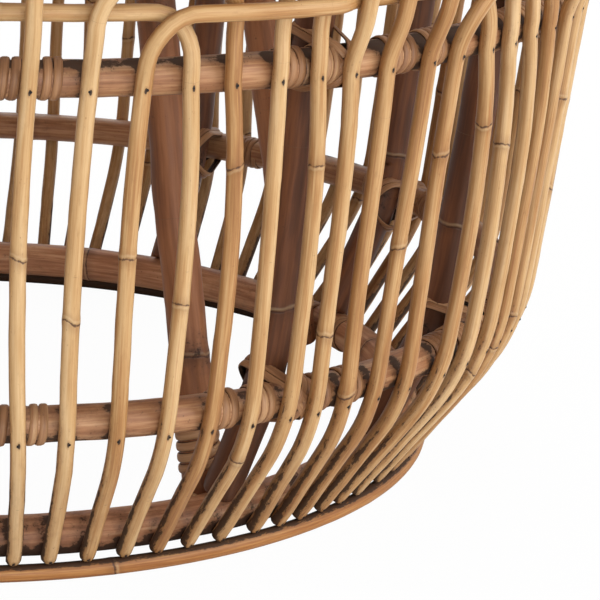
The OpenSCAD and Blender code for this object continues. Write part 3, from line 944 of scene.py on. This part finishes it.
trim_route = circle_route(trim_r, trim_d / 2, 16, sway=0.25 * MM)
trim_side = directions(trim_route[:3])[2][1, 2]
trim_marks = [np.radians(a) * trim_r for a in (17, 77, 139, 198, 255, 322)]
trim_part = cane(
    trim_route, trim_d / 2, 16, 16, trim_marks, step=2.6 * MM, closed=True, uneven=0.01, swell=0.05)
trim_part["points"][:, 2] = np.clip(
    trim_part["points"][:, 2] - (trim_d - (trim_high.z - trim_low.z)), trim_low.z, trim_high.z + 0.2 * MM)
add_grime_and_shade(trim_part, trim_darkening)
make_piece("foot_trim_cane", [trim_part], honey, "cage", ["foot_trim_ring"])
print("trim cane", round(trim_r, 4), "m round")

# %% [markdown]
# Eight uprights follow the ribs inside the rings, from the base ring to the
# rim. They are smooth reddish poles, bent once at the knee and once at the
# upper ring, as a steamed pole bends.

# %% Bend the uprights
UPRIGHTS = (32, 62, 115, 148, 212, 242, 295, 328)
UPRIGHT_D = 14 * MM
upright_touch = pole_d / 2 + UPRIGHT_D / 2 + CLEARANCE
upright_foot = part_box("upright_1")[0].z
knee_inside = upright_touch / np.cos((LOW_ANGLE - WALL_ANGLE) / 2)
upright_line = np.array([
    [base_r, upright_foot],
    [knee_r - knee_inside * np.cos(KNEE_ANGLE), knee_z + knee_inside * np.sin(KNEE_ANGLE)],
    [upper_r - upright_touch / np.cos(FLARE_ANGLE), upper_z],
    [rim_r - upright_touch / np.cos(FLARE_ANGLE) + pole_d / 2 * np.tan(FLARE_ANGLE), rim_z + pole_d / 2]])


def rounded(line, reach):
    """A line of (radius, height) with each inner corner made a smooth curve that starts reach away."""
    out = [line[:1]]
    t = np.linspace(0, 1, 9)[:, None]
    for a, p, b in zip(line[:-2], line[1:-1], line[2:]):
        start, stop = p + unit(a - p) * reach, p + unit(b - p) * reach
        out.append((1 - t) ** 2 * start + 2 * t * (1 - t) * p + t ** 2 * stop)
    return np.vstack(out + [line[-1:]])


def pole_dirt(points, place):
    """A little dirt at the foot of a pole and where it passes a ring."""
    z = points[:, 2]
    return sum(0.4 * np.exp(-(((z - ring) / DIRT_SPREAD) ** 2)) for ring in RING_HEIGHTS) + 0.06


def straight_pole(route, d, seed, growth, tone):
    """A pole along a route, with growth rings at shares of its length, and as light as its tone, 0 to 1."""
    total = length_along(route)[-1]
    route = resample(route, np.linspace(0, total, 90))
    s = length_along(route)
    b = directions(route)[2]
    route = route + (0.5 * MM * wander(s, seed + 40) * np.sin(np.pi * s / total))[:, None] * b
    part = cane(route, d / 2, 18, seed, [g * total for g in growth], uneven=0.014, swell=0.04)
    part["tone"][:] = tone
    return add_grime_and_shade(part, pole_dirt)


for k, azimuth in enumerate(UPRIGHTS):
    growth = np.random.default_rng(50 + k).uniform([0.15, 0.6], [0.4, 0.9])
    line = rounded(upright_line, 16 * MM)
    pole = straight_pole(polar(azimuth, line[:, 0], line[:, 1]), UPRIGHT_D, 50 + k, growth, 0.15 + 0.04 * k)
    make_piece(f"upright_pole_{k + 1}", [pole], russet, "cage", [f"upright_{k + 1}"])
print("bent", len(UPRIGHTS), "uprights")

# %% [markdown]
# Four thicker legs stand inside the base ring and lean in, to carry the ring
# that the tray rests on. Each is straight, and its foot stands a little to
# one side of its top.

# %% Set the inner legs
LEGS = (32, 115, 212, 295)
LEG_D = 15 * MM
LEG_SIDESTEP = 4 * MM
leg_foot_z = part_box("inner_leg_1")[0].z
leg_top_z = support_z - pole_d / 2
leg_lean = np.arctan((base_r - base_d / 2 - LEG_D / 2 - support_r) / (leg_top_z - base_z))
leg_foot_r = base_r - (base_d / 2 + LEG_D / 2 + CLEARANCE) / np.cos(leg_lean)


def leg_point(azimuth, z):
    """The middle of a leg at height z: it leans in, and its foot stands a little to one side of its top."""
    r = leg_foot_r + (support_r - leg_foot_r) * (z - base_z) / (leg_top_z - base_z)
    return polar(azimuth, r, z) + LEG_SIDESTEP * (1 - z / leg_top_z) * polar(azimuth + 90, 1.0, 0.0)


for k, azimuth in enumerate(LEGS):
    route = np.array([leg_point(azimuth, z) for z in (leg_foot_z, leg_top_z)])
    pole = straight_pole(route, LEG_D, 70 + k, (0.3, 0.82), 0.85 - 0.05 * k)
    make_piece(f"inner_leg_pole_{k + 1}", [pole], russet, "cage", [f"inner_leg_{k + 1}"])
print("set", len(LEGS), "legs")

# %% [markdown]
# Split cane is the shiny skin of the plant, cut in strips 3.3 to 3.7 mm wide.
# Wound on a pole it makes a neat row of turns, each crowned and with a dark
# line of painted shade between it and the next. A strip is a flat, crowned
# section carried along the line of the winding, always facing away from the pole.

# %% Wind split cane
PEEL_T = 0.9 * MM
PEEL_W = 3.3 * MM
TURN_PITCH = 3.4 * MM
INNER_SIDE, UNDERSIDE = np.pi, -np.pi / 2
CROWN_X = np.array([0.18, 0.40, 0.5, -0.5, -0.40, -0.18])
CROWN_Y = np.array([1.0, 0.72, -0.1, -0.1, 0.72, 1.0])


def strip(route, outward, width, thickness, seed):
    """A strip: p(s) + x w(s) + y e(s), with e outward and w = tangent x e, over a crowned outline."""
    t = unit(np.gradient(route, axis=0))
    e = unit(outward - (outward * t).sum(-1, keepdims=True) * t)
    w = np.cross(t, e)
    rows = (route[:, None] + (CROWN_X * width)[None, :, None] * w[:, None]
            + (CROWN_Y * thickness)[None, :, None] * e[:, None])
    points, quads, tris = loft(rows)
    s = length_along(route)
    place = place_on(CROWN_X * 1.4, CROWN_Y, s)
    # The strip's edges and ends are made dark: painted shade in the seams between turns.
    edge = np.broadcast_to(np.abs(CROWN_X) > 0.45, rows.shape[:2]).ravel() * 0.85
    ends = np.array([[0, 0, 0], [0, 0, s[-1]]])
    count = len(points)
    return {
        "points": points, "quads": quads, "tris": tris, "place": np.vstack([place, ends]),
        "joint": np.full(count, FAR), "nail": np.full(count, FAR),
        "tone": np.full(count, np.random.default_rng(seed).uniform()),
        "grime_and_shade": np.concatenate([edge, [0.85, 0.85]]),
    }


def winding(core, radius, turns, pitch, seed, lean=0.0):
    """Turns of one strip round a core, which gives centre, n and b at a distance u along its pole.

    The strip's middle is centre(u) + radius (cos f n + sin f b), as f goes
    round and u moves on by a pitch each turn.
    """
    f = np.linspace(0, 2 * np.pi * turns, int(20 * turns) + 1)
    angle = f + INNER_SIDE
    u = (f / (2 * np.pi) - turns / 2) * pitch + lean * np.sin(angle)
    centre, n, b = core(u)
    e = turned(angle, n, b)
    sink = 1.2 * MM * (np.exp(-f / 0.25) + np.exp(-(f[-1] - f) / 0.25))
    return strip(centre + (radius - sink)[:, None] * e, e, PEEL_W * (pitch / TURN_PITCH) ** 0.5, PEEL_T, seed)


def ring_core(r, z, azimuth):
    """The middle of a ring's pole, at a distance along it from an azimuth."""
    def core(u):
        a = azimuth + np.degrees(u / r)
        centre = polar(a, r, z)
        n = polar(a, 1.0, 0.0)
        return centre, n, np.broadcast_to(UP, n.shape)
    return core


def pole_core(a, b):
    """The middle of a straight pole from a to b, at a distance along it from its middle."""
    t = unit(b - a)
    away = unit((a + b) * [1, 1, 0])
    n = unit(away - (away * t).sum() * t)

    def core(u):
        centre = (a + b) / 2 + u[:, None] * t
        return centre, np.broadcast_to(n, centre.shape), np.broadcast_to(np.cross(t, n), centre.shape)
    return core


def open_turns(core, radius, turns, pitch, seed, middle, reach):
    """Strips side by side across part of a pole, each from middle - reach to middle + reach round it."""
    f = np.linspace(middle - reach, middle + reach, 30)
    parts = []
    for k in range(turns):
        centre, n, b = core(np.full(len(f), (k - (turns - 1) / 2) * pitch))
        e = turned(f, n, b)
        sink = 1.2 * MM * (np.exp(-(f - f[0]) / 0.2) + np.exp(-(f[-1] - f) / 0.2))
        parts.append(strip(centre + (radius - sink)[:, None] * e, e, 0.97 * pitch, PEEL_T, seed + k))
    return parts


def wrap_gap(gap, r, z, d, seed):
    """Turns of split cane that fill the gap after a rib."""
    width = np.radians(rib_azimuth(gap + 1, z) - rib_azimuth(gap, z)) * r - RIB_D + 0.6 * MM
    turns = max(2, round(width / TURN_PITCH))
    pitch = min(width / turns, 3.9 * MM)
    return winding(ring_core(r, z, gap_azimuth(gap, z)), d / 2, turns, pitch, seed)


one_turn = winding(ring_core(upper_r, upper_z, 0), pole_d / 2, 1, PEEL_W, 1)
print("one turn has", len(one_turn["points"]), "points")

# %% [markdown]
# At each upright the strip first wraps the ring, then crosses over ring and
# upright together on both diagonals, and wraps the ring again. The crossing
# turns follow the tightest loop round two ellipses, the slanted sections of
# ring and upright, which a support function gives directly.

# %% Cross the lashings over the uprights
def crossing(azimuth, r, z, d, inner_r, slant, offset, seed):
    """A loop round a ring's pole and an upright, in a plane turned by slant about the radial direction.

    For each direction f, the loop's point is the furthest point of either
    ellipse that way: c + (a^2 cos f, b^2 sin f) / h, with
    h = sqrt(a^2 cos^2 f + b^2 sin^2 f).
    """
    f = np.linspace(0, 2 * np.pi, 49) + np.pi
    gap = 0.5 * PEEL_T
    tilt = np.abs(np.sin(slant))
    radii = np.array([d, UPRIGHT_D]) / 2 + gap
    half = np.stack([radii, radii / [np.cos(slant), tilt]], -1)
    centres = np.array([r, inner_r])
    h = np.hypot(half[:, :1] * np.cos(f), half[:, 1:] * np.sin(f))
    reach = centres[:, None] * np.cos(f) + h
    win = reach.argmax(0)
    pick = np.arange(len(f))
    x = centres[win] + half[win, 0] ** 2 * np.cos(f) / h[win, pick]
    y = half[win, 1] ** 2 * np.sin(f) / h[win, pick]
    away, round_way = polar(azimuth, 1.0, 0.0), polar(azimuth + 90, 1.0, 0.0)
    in_plane = np.cos(slant) * UP + np.sin(slant) * round_way
    square = np.cos(slant) * round_way - np.sin(slant) * UP
    route = z * UP + x[:, None] * away + y[:, None] * in_plane + offset * square
    s = length_along(route)
    even = np.linspace(0, s[-1], 44)
    outward = between(even, s, turned(f, away, in_plane))
    return strip(between(even, s, route), outward, PEEL_W, 0.8 * PEEL_T, seed)


def upright_r_at(z):
    """Radius of the uprights' line at height z."""
    return np.interp(z, upright_line[:, 1], upright_line[:, 0])


CROSSING_SLANT = np.radians(35)


def crossings(r, z, seed):
    """Two strips on each diagonal, at every upright."""
    inner_r = upright_r_at(z)
    each = [(azimuth, slant, offset) for azimuth in UPRIGHTS for slant in (-1, 1) for offset in (-0.5, 0.5)]
    return [
        crossing(azimuth, r, z, pole_d, inner_r, slant * CROSSING_SLANT, offset * 0.94 * PEEL_W, seed + 1 + k)
        for k, (azimuth, slant, offset) in enumerate(each)]


def gap_wraps(r, z, seed):
    """Wraps in the two gaps before each upright and the two after it."""
    gaps = [gap_after(azimuth, z) + side for azimuth in UPRIGHTS for side in (-2, -1, 1, 2)]
    return [wrap_gap(gap, r, z, pole_d, seed + k) for k, gap in enumerate(gaps)]


SPLICE_RIB = -2


def splice_wraps(r, z, seed):
    """Wraps that bind the slanting joint of a ring's pole: the gap before a rib, and two turns after it."""
    after = rib_azimuth(SPLICE_RIB, z) + np.degrees((RIB_R + 4.5 * MM) / r)
    narrow = winding(ring_core(r, z, after), pole_d / 2, 2, TURN_PITCH, seed + 1)
    return [wrap_gap(SPLICE_RIB - 1, r, z, pole_d, seed), narrow]


def bind_ring(name, r, z, seed):
    """All the windings of one ring, as one piece."""
    parts = gap_wraps(r, z, seed) + crossings(r, z, seed + 100) + splice_wraps(r, z, seed + 200)
    make_piece(name + "_bindings", parts, peel, "cage", [name + "_lashings"])
    return len(parts)


bound = bind_ring("upper", upper_r, upper_z, 200) + bind_ring("knee", knee_r, knee_z, 500)
print("bound", bound, "windings at the upper and knee rings")

# %% [markdown]
# Beside each upright at the rim, and beside each leg at its foot and its top,
# strips go part of the way round the ring, where nothing is in their way. The
# foot of each leg also has whole turns.

# %% Bind the rim, the feet and the support ring
half_pole = pole_d / 2


def beside(azimuth, side, distance, r, z):
    """The middle of a ring's pole, measured from a point to one side of an azimuth."""
    return ring_core(r, z, azimuth + side * np.degrees(distance / r))


WIDE_PITCH = 3.7 * MM
HALF_ROUND, MOST_ROUND = np.radians([88, 140])
rim_parts = []
for k, (azimuth, side) in enumerate((a, s) for a in UPRIGHTS for s in (-1, 1)):
    core = beside(azimuth, side, UPRIGHT_D / 2 + 6 * MM, rim_r, rim_z)
    rim_parts += open_turns(core, half_pole, 2, WIDE_PITCH, 800 + 2 * k, INNER_SIDE, HALF_ROUND)
make_piece("rim_bindings", rim_parts, peel, "cage", ["rim_lashings"])

base_parts, support_parts = [], []
for k, azimuth in enumerate(LEGS):
    for side in (-1, 1):
        core = beside(azimuth, side, LEG_D / 2 + 5 * MM, base_r, base_z)
        base_parts += open_turns(core, base_d / 2, 2, 3 * MM, 840 + 4 * k + side, INNER_SIDE, HALF_ROUND)
        core = beside(azimuth, side, LEG_D / 2 + 6 * MM, support_r, support_z)
        support_parts += open_turns(core, half_pole, 2, WIDE_PITCH, 880 + 4 * k + side, UNDERSIDE, MOST_ROUND)
    foot = base_z + base_d / 2 + 3 * MM
    core = pole_core(leg_point(azimuth, foot), leg_point(azimuth, foot + 18 * MM))
    base_parts.append(winding(core, LEG_D / 2, 4, 4.2 * MM, 860 + k, lean=0.8 * MM))
make_piece("base_bindings", base_parts, peel, "cage", ["base_lashings"])
make_piece("support_bindings", support_parts, peel, "cage", ["support_lashings"])
print("bound", len(rim_parts) + len(base_parts) + len(support_parts), "more")

# %% [markdown]
# A brad is a thin nail with a small domed head, sunk almost flush. All that
# shows is the head, so that is what is made: a dome of four rings of points.

# %% Drive the brads
HEAD_R = 0.5 * MM
HEAD_SIDES = 10
HEAD_OUT = RIB_R + 0.02 * MM


def brads(centres, outward, seed):
    """Domed heads: at each centre, rings of radius R cos f at height 0.55 R sin f, and a point on top."""
    f = np.radians([-35, 0, 32, 62])
    a = 2 * np.pi * np.arange(HEAD_SIDES) / HEAD_SIDES
    rng = np.random.default_rng(seed)
    parts = []
    side = unit(np.cross(outward, [0.31, 0.17, 0.93]))
    other = np.cross(outward, side)
    size = HEAD_R * rng.uniform(0.85, 1.15, len(centres))
    for p, e, u, v, r in zip(centres, outward, side, other, size):
        ring = turned(a, u, v)
        rows = p + r * (np.cos(f)[:, None, None] * ring[None] + 0.55 * np.sin(f)[:, None, None] * e)
        points, quads, tris = loft(rows)
        points[-1] += 0.06 * r * e
        parts.append({"points": points, "quads": quads, "tris": tris, "place": points * 0})
    return parts


def cane_brads(azimuth, r, z, lean, seed):
    """A brad in a cane at each azimuth where its line passes (r, z), square to the line."""
    outward = np.cos(lean) * polar(azimuth, 1.0, 0.0) - np.sin(lean) * UP
    return brads(polar(azimuth, r, z) + HEAD_OUT * outward, outward, seed)


def rib_brads(r, z, lean, seed):
    """A brad in every rib."""
    return cane_brads(rib_azimuth(np.arange(RIBS), z), r, z, lean, seed)


def make_brads(node, parts):
    """One piece for a row of brads."""
    return make_piece(node.replace("brads", "nail_heads"), parts, iron, "cage", [node])


make_brads("upper_ring_brads", rib_brads(contact_r, contact_z, WALL_ANGLE, 21))
make_brads("knee_ring_brads", rib_brads(*on_bend(KNEE_ANGLE), KNEE_ANGLE, 22))
make_brads("base_ring_brads", rib_brads(path_r(base_nail_z), base_nail_z, LOW_ANGLE, 23))
trim_gaps = gap_azimuth(np.arange(1, RIBS, 4), 0.0)
make_brads("trim_brads", brads(
    polar(trim_gaps, trim_r - 0.5 * MM, 0.9 * MM), polar(trim_gaps, 0.35, -0.94), 25))
top_z = upper_z + BAR_RISE + BAR_STEP * (HOOPS - 1)
rim_azimuths = np.array([
    FIRST_RIB + PITCH * (2 * HOOPS * family + n) for family in range(FAMILIES) for n in (7.2, 8.8)])
make_brads("rim_brads", cane_brads(rim_azimuths, path_r(top_z) - LAYER, top_z, FLARE_ANGLE, 24))
print("drove brads in", RIBS, "ribs")

# %% [markdown]
# The tray is randed: one long weaver goes in front of one stake and behind
# the next, and an odd number of stakes makes every turn the opposite of the
# last. So a single spiral route, with a wave in it, makes the whole fabric.

# %% Measure the tray and lay its stakes
floor_low, floor_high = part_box("tray_floor")
wall_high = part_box("tray_wall")[1]
border_low, border_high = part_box("tray_border")
floor_r = floor_high.x
floor_mid = (floor_low.z + floor_high.z) / 2
weave_t = floor_high.z - floor_low.z
STAKES = 47
WEAVER_R = 1.15 * MM
STAKE_R = 1.3 * MM
WAVE = weave_t / 2 - WEAVER_R - 0.05 * MM
wall_foot = np.array([floor_r - weave_t / 2, floor_mid])
wall_head = np.array([wall_high.x - weave_t / 2, wall_high.z])
stake_azimuth = np.arange(STAKES) * 360 / STAKES


def stake(azimuth, seed):
    """A stake from near the middle of the floor to its edge, and up the wall."""
    line = rounded(np.array([[12 * MM, floor_mid], wall_foot, wall_head]), 5 * MM)
    part = cane(polar(azimuth, line[:, 0], line[:, 1]), STAKE_R, 7, seed, step=12 * MM)
    return add_grime_and_shade(part, lambda points, place: np.full(len(points), 0.2))


stakes = [stake(azimuth, 900 + k) for k, azimuth in enumerate(stake_azimuth)]
print(len(stakes), "stakes; weave", round(weave_t * 1000, 1), "mm thick")

# %% [markdown]
# A weaver is one thin cane many metres long. It needs few sides, but enough
# samples between one stake and the next for its wave to be smooth. Its middle
# follows a line up the wall or across the floor, and it waves square to it.

# %% Weave the floor and the wall
WEAVER_SIDES = 6
SAMPLES = 3


def weaver(route, seed):
    """A plain thin cane, wider than it is thick, whose tone drifts along it."""
    s = length_along(route)
    _, n, b = directions(route)
    a = 2 * np.pi * np.arange(WEAVER_SIDES) / WEAVER_SIDES
    cos, sin = np.cos(a), np.sin(a)
    rows = route[:, None] + WEAVER_R * (
        cos[None, :, None] * n[:, None] + 1.35 * sin[None, :, None] * b[:, None])
    points, quads, tris = loft(rows)
    count = len(points)
    cycle = np.mod(s, np.random.default_rng(seed).uniform(0.5, 0.7))
    tone = 0.5 + 0.45 * np.sin(s * 5.1 + seed)
    return {
        "points": points, "quads": quads, "tris": tris,
        "place": np.vstack([place_on(cos, sin, s), [[0, 0, 0], [0, 0, s[-1]]]]),
        "joint": np.concatenate([np.repeat(cycle, WEAVER_SIDES), [FAR, FAR]]),
        "tone": np.concatenate([np.repeat(tone, WEAVER_SIDES), [0.5, 0.5]]),
        "nail": np.full(count, FAR), "grime_and_shade": np.full(count, 0.12),
    }


def weave(line_point, turns, seed, spokes=STAKES):
    """A spiral weaver: at turn v of the azimuth it lies at line_point(v), waved by cos(spokes a / 2)."""
    v = np.linspace(0, turns, int(turns * spokes * SAMPLES))
    azimuth = 360 * v
    middle, across = line_point(v)
    wave = WAVE * np.cos(np.radians(azimuth) * spokes / 2)
    route = polar(azimuth, middle[:, 0] + across[:, 0] * wave, middle[:, 1] + across[:, 1] * wave)
    return weaver(route, seed)


ROW = 3.3 * MM
floor_turns = int((floor_r - 16 * MM) / ROW)


def on_floor(v):
    """The floor's weaver: out by a row each turn, waving up and down."""
    middle = np.stack([14 * MM + v * (floor_r - 17 * MM) / floor_turns, np.full(len(v), floor_mid)], -1)
    return middle, np.broadcast_to([0.0, 1.0], middle.shape)


wall_vector = wall_head - wall_foot
wall_length = np.hypot(*wall_vector)
wall_turns = int(wall_length / ROW)
wall_across = np.array([wall_vector[1], -wall_vector[0]]) / wall_length


def on_wall(v):
    """The wall's weaver: up the slope by a row each turn, waving square to it."""
    middle = wall_foot + (v / wall_turns)[:, None] * wall_vector
    return middle, np.broadcast_to(wall_across, middle.shape)


INNER_TURNS = 14
INNER_SPOKES = 23
floor_parts = [
    weave(on_floor, INNER_TURNS, 31, INNER_SPOKES),
    weave(lambda v: on_floor(v + INNER_TURNS), floor_turns - INNER_TURNS, 32)]
make_piece("tray_floor_weave", floor_parts, wicker, "tray", ["tray_floor"])
wall_parts = [weave(on_wall, wall_turns, 33), *stakes]
make_piece("tray_wall_weave", wall_parts, wicker, "tray", ["tray_wall"])
print("wove", floor_turns, "turns of floor and", wall_turns, "of wall")

# %% [markdown]
# The tray's edge is three rods twisted together like a rope, which hides the
# ends of the stakes. Each strand circles the middle of the border as it goes.

# %% Twist the border
border_half = (border_high.z - border_low.z) / 2
border_r = (border_high.x - border_low.x) / 2 - border_half
border_z = (border_low.z + border_high.z) / 2
TWISTS = 58
BORDER_POINTS = 1160


def border_strand(k):
    """A strand on a helix about the border's circle, a third of a turn from its neighbours."""
    azimuth = np.arange(BORDER_POINTS) * 360 / BORDER_POINTS
    turn = np.radians(azimuth) * TWISTS + k * 2 * np.pi / 3
    offset = 0.47 * border_half
    route = polar(azimuth, border_r + offset * np.cos(turn), border_z + offset * np.sin(turn))
    part = cane(route, 0.52 * border_half, 8, 960 + k, (), step=1.3 * MM, closed=True, uneven=0.01)
    return add_grime_and_shade(part, lambda points, place: np.full(len(points), 0.15))


strands = [border_strand(k) for k in range(3)]
make_piece("tray_border_rope", strands, wicker, "tray", ["tray_border"])
print("twisted the border,", round(border_r * 2, 3), "m across")

# %% [markdown]
# The basket stands on a white floor in a bright room. The floor is white to
# the camera but keeps a soft shadow, and the light is broad and plain, so
# that each colour shows about as it was written.

# %% Floor, light and camera
def white_ground(name, z, size):
    """A flat square of white that is mostly pure white to the camera and keeps some of its shading."""
    mesh = bpy.data.meshes.new(name)
    corners = [(-size, -size, z), (size, -size, z), (size, size, z), (-size, size, z)]
    mesh.from_pydata(corners, [], [(0, 1, 2, 3)])
    floor = bpy.data.objects.new(name, mesh)
    bpy.context.scene.collection.objects.link(floor)
    material = bpy.data.materials.new("White floor")
    material.use_nodes = True
    nodes, links = material.node_tree.nodes, material.node_tree.links
    shader = nodes["Principled BSDF"]
    shader.inputs["Base Color"].default_value = (0.85, 0.85, 0.85, 1)
    shader.inputs["Roughness"].default_value = 0.9
    glow = nodes.new("ShaderNodeEmission")
    path = nodes.new("ShaderNodeLightPath")
    share = nodes.new("ShaderNodeMath")
    share.operation = "MULTIPLY"
    share.inputs[1].default_value = 0.97
    blend = nodes.new("ShaderNodeMixShader")
    links.new(path.outputs["Is Camera Ray"], share.inputs[0])
    links.new(share.outputs[0], blend.inputs[0])
    links.new(shader.outputs[0], blend.inputs[1])
    links.new(glow.outputs[0], blend.inputs[2])
    links.new(blend.outputs[0], nodes["Material Output"].inputs[0])
    mesh.materials.append(material)
    return floor


floor = white_ground("floor", -0.0002, 6.0)


def area_light(name, place, target, size, power):
    """A square soft light at a place, turned to a target."""
    lamp = bpy.data.lights.new(name, "AREA")
    lamp.shape = "SQUARE"
    lamp.size = size
    lamp.energy = power
    holder = bpy.data.objects.new(name, lamp)
    holder.location = place
    holder.rotation_euler = (Vector(place) - Vector(target)).to_track_quat("Z", "Y").to_euler()
    bpy.context.scene.collection.objects.link(holder)
    return holder


middle = Vector((0, 0, 0.13))
area_light("key", (-1.1, -1.5, 1.7), middle, 1.3, 4)
area_light("fill", (1.5, -1.0, 0.9), middle, 1.4, 20)
area_light("front", (0.3, -2.0, 0.3), middle, 0.8, 11)
area_light("back", (0.2, 1.8, 1.5), middle, 1.6, 19)

world = bpy.data.worlds.new("White room")
world.use_nodes = True
world_nodes, world_links = world.node_tree.nodes, world.node_tree.links
background = world_nodes["Background"]
background.inputs["Color"].default_value = (1, 1, 1, 1)
world_path = world_nodes.new("ShaderNodeLightPath")
world_level = world_nodes.new("ShaderNodeMapRange")
world_level.inputs[3].default_value = 0.70
world_level.inputs[4].default_value = 1.0
world_links.new(world_path.outputs["Is Camera Ray"], world_level.inputs[0])
world_links.new(world_level.outputs[0], background.inputs["Strength"])
bpy.context.scene.world = world
bpy.context.scene.view_settings.view_transform = "Standard"

# %% [markdown]
# The camera stands in front of the basket and a little above it, and a long
# lens looks down at the right-hand side of its lower half. It is rolled a
# little, as a hand-held close-up is.

# %% Set the camera
CAMERA_PLACE = Vector((0, -1.2, 0.4061))
CAMERA_AZIMUTH, CAMERA_ELEVATION, CAMERA_ROLL = np.radians([6.807, -16.45, 2.607])
LENS = 179.83

forward = Vector((
    np.sin(CAMERA_AZIMUTH) * np.cos(CAMERA_ELEVATION),
    np.cos(CAMERA_AZIMUTH) * np.cos(CAMERA_ELEVATION),
    np.sin(CAMERA_ELEVATION)))
level_right = forward.cross(Vector((0, 0, 1))).normalized()
level_up = level_right.cross(forward)
right = np.cos(CAMERA_ROLL) * level_right + np.sin(CAMERA_ROLL) * level_up
up = np.cos(CAMERA_ROLL) * level_up - np.sin(CAMERA_ROLL) * level_right
camera_data = bpy.data.cameras.new("camera")
camera_data.lens = LENS
camera_data.sensor_width = 36
camera = bpy.data.objects.new("camera", camera_data)
camera.matrix_world = Matrix.Translation(CAMERA_PLACE) @ Matrix((right, up, -forward)).transposed().to_4x4()
bpy.context.scene.collection.objects.link(camera)
bpy.context.scene.camera = camera
print("camera", tuple(round(v, 3) for v in camera.location))

# %% Measure and finish
print("pieces", len(pieces), "triangles", sum(len(p.data.loops) - 2 * len(p.data.polygons) for p in pieces))
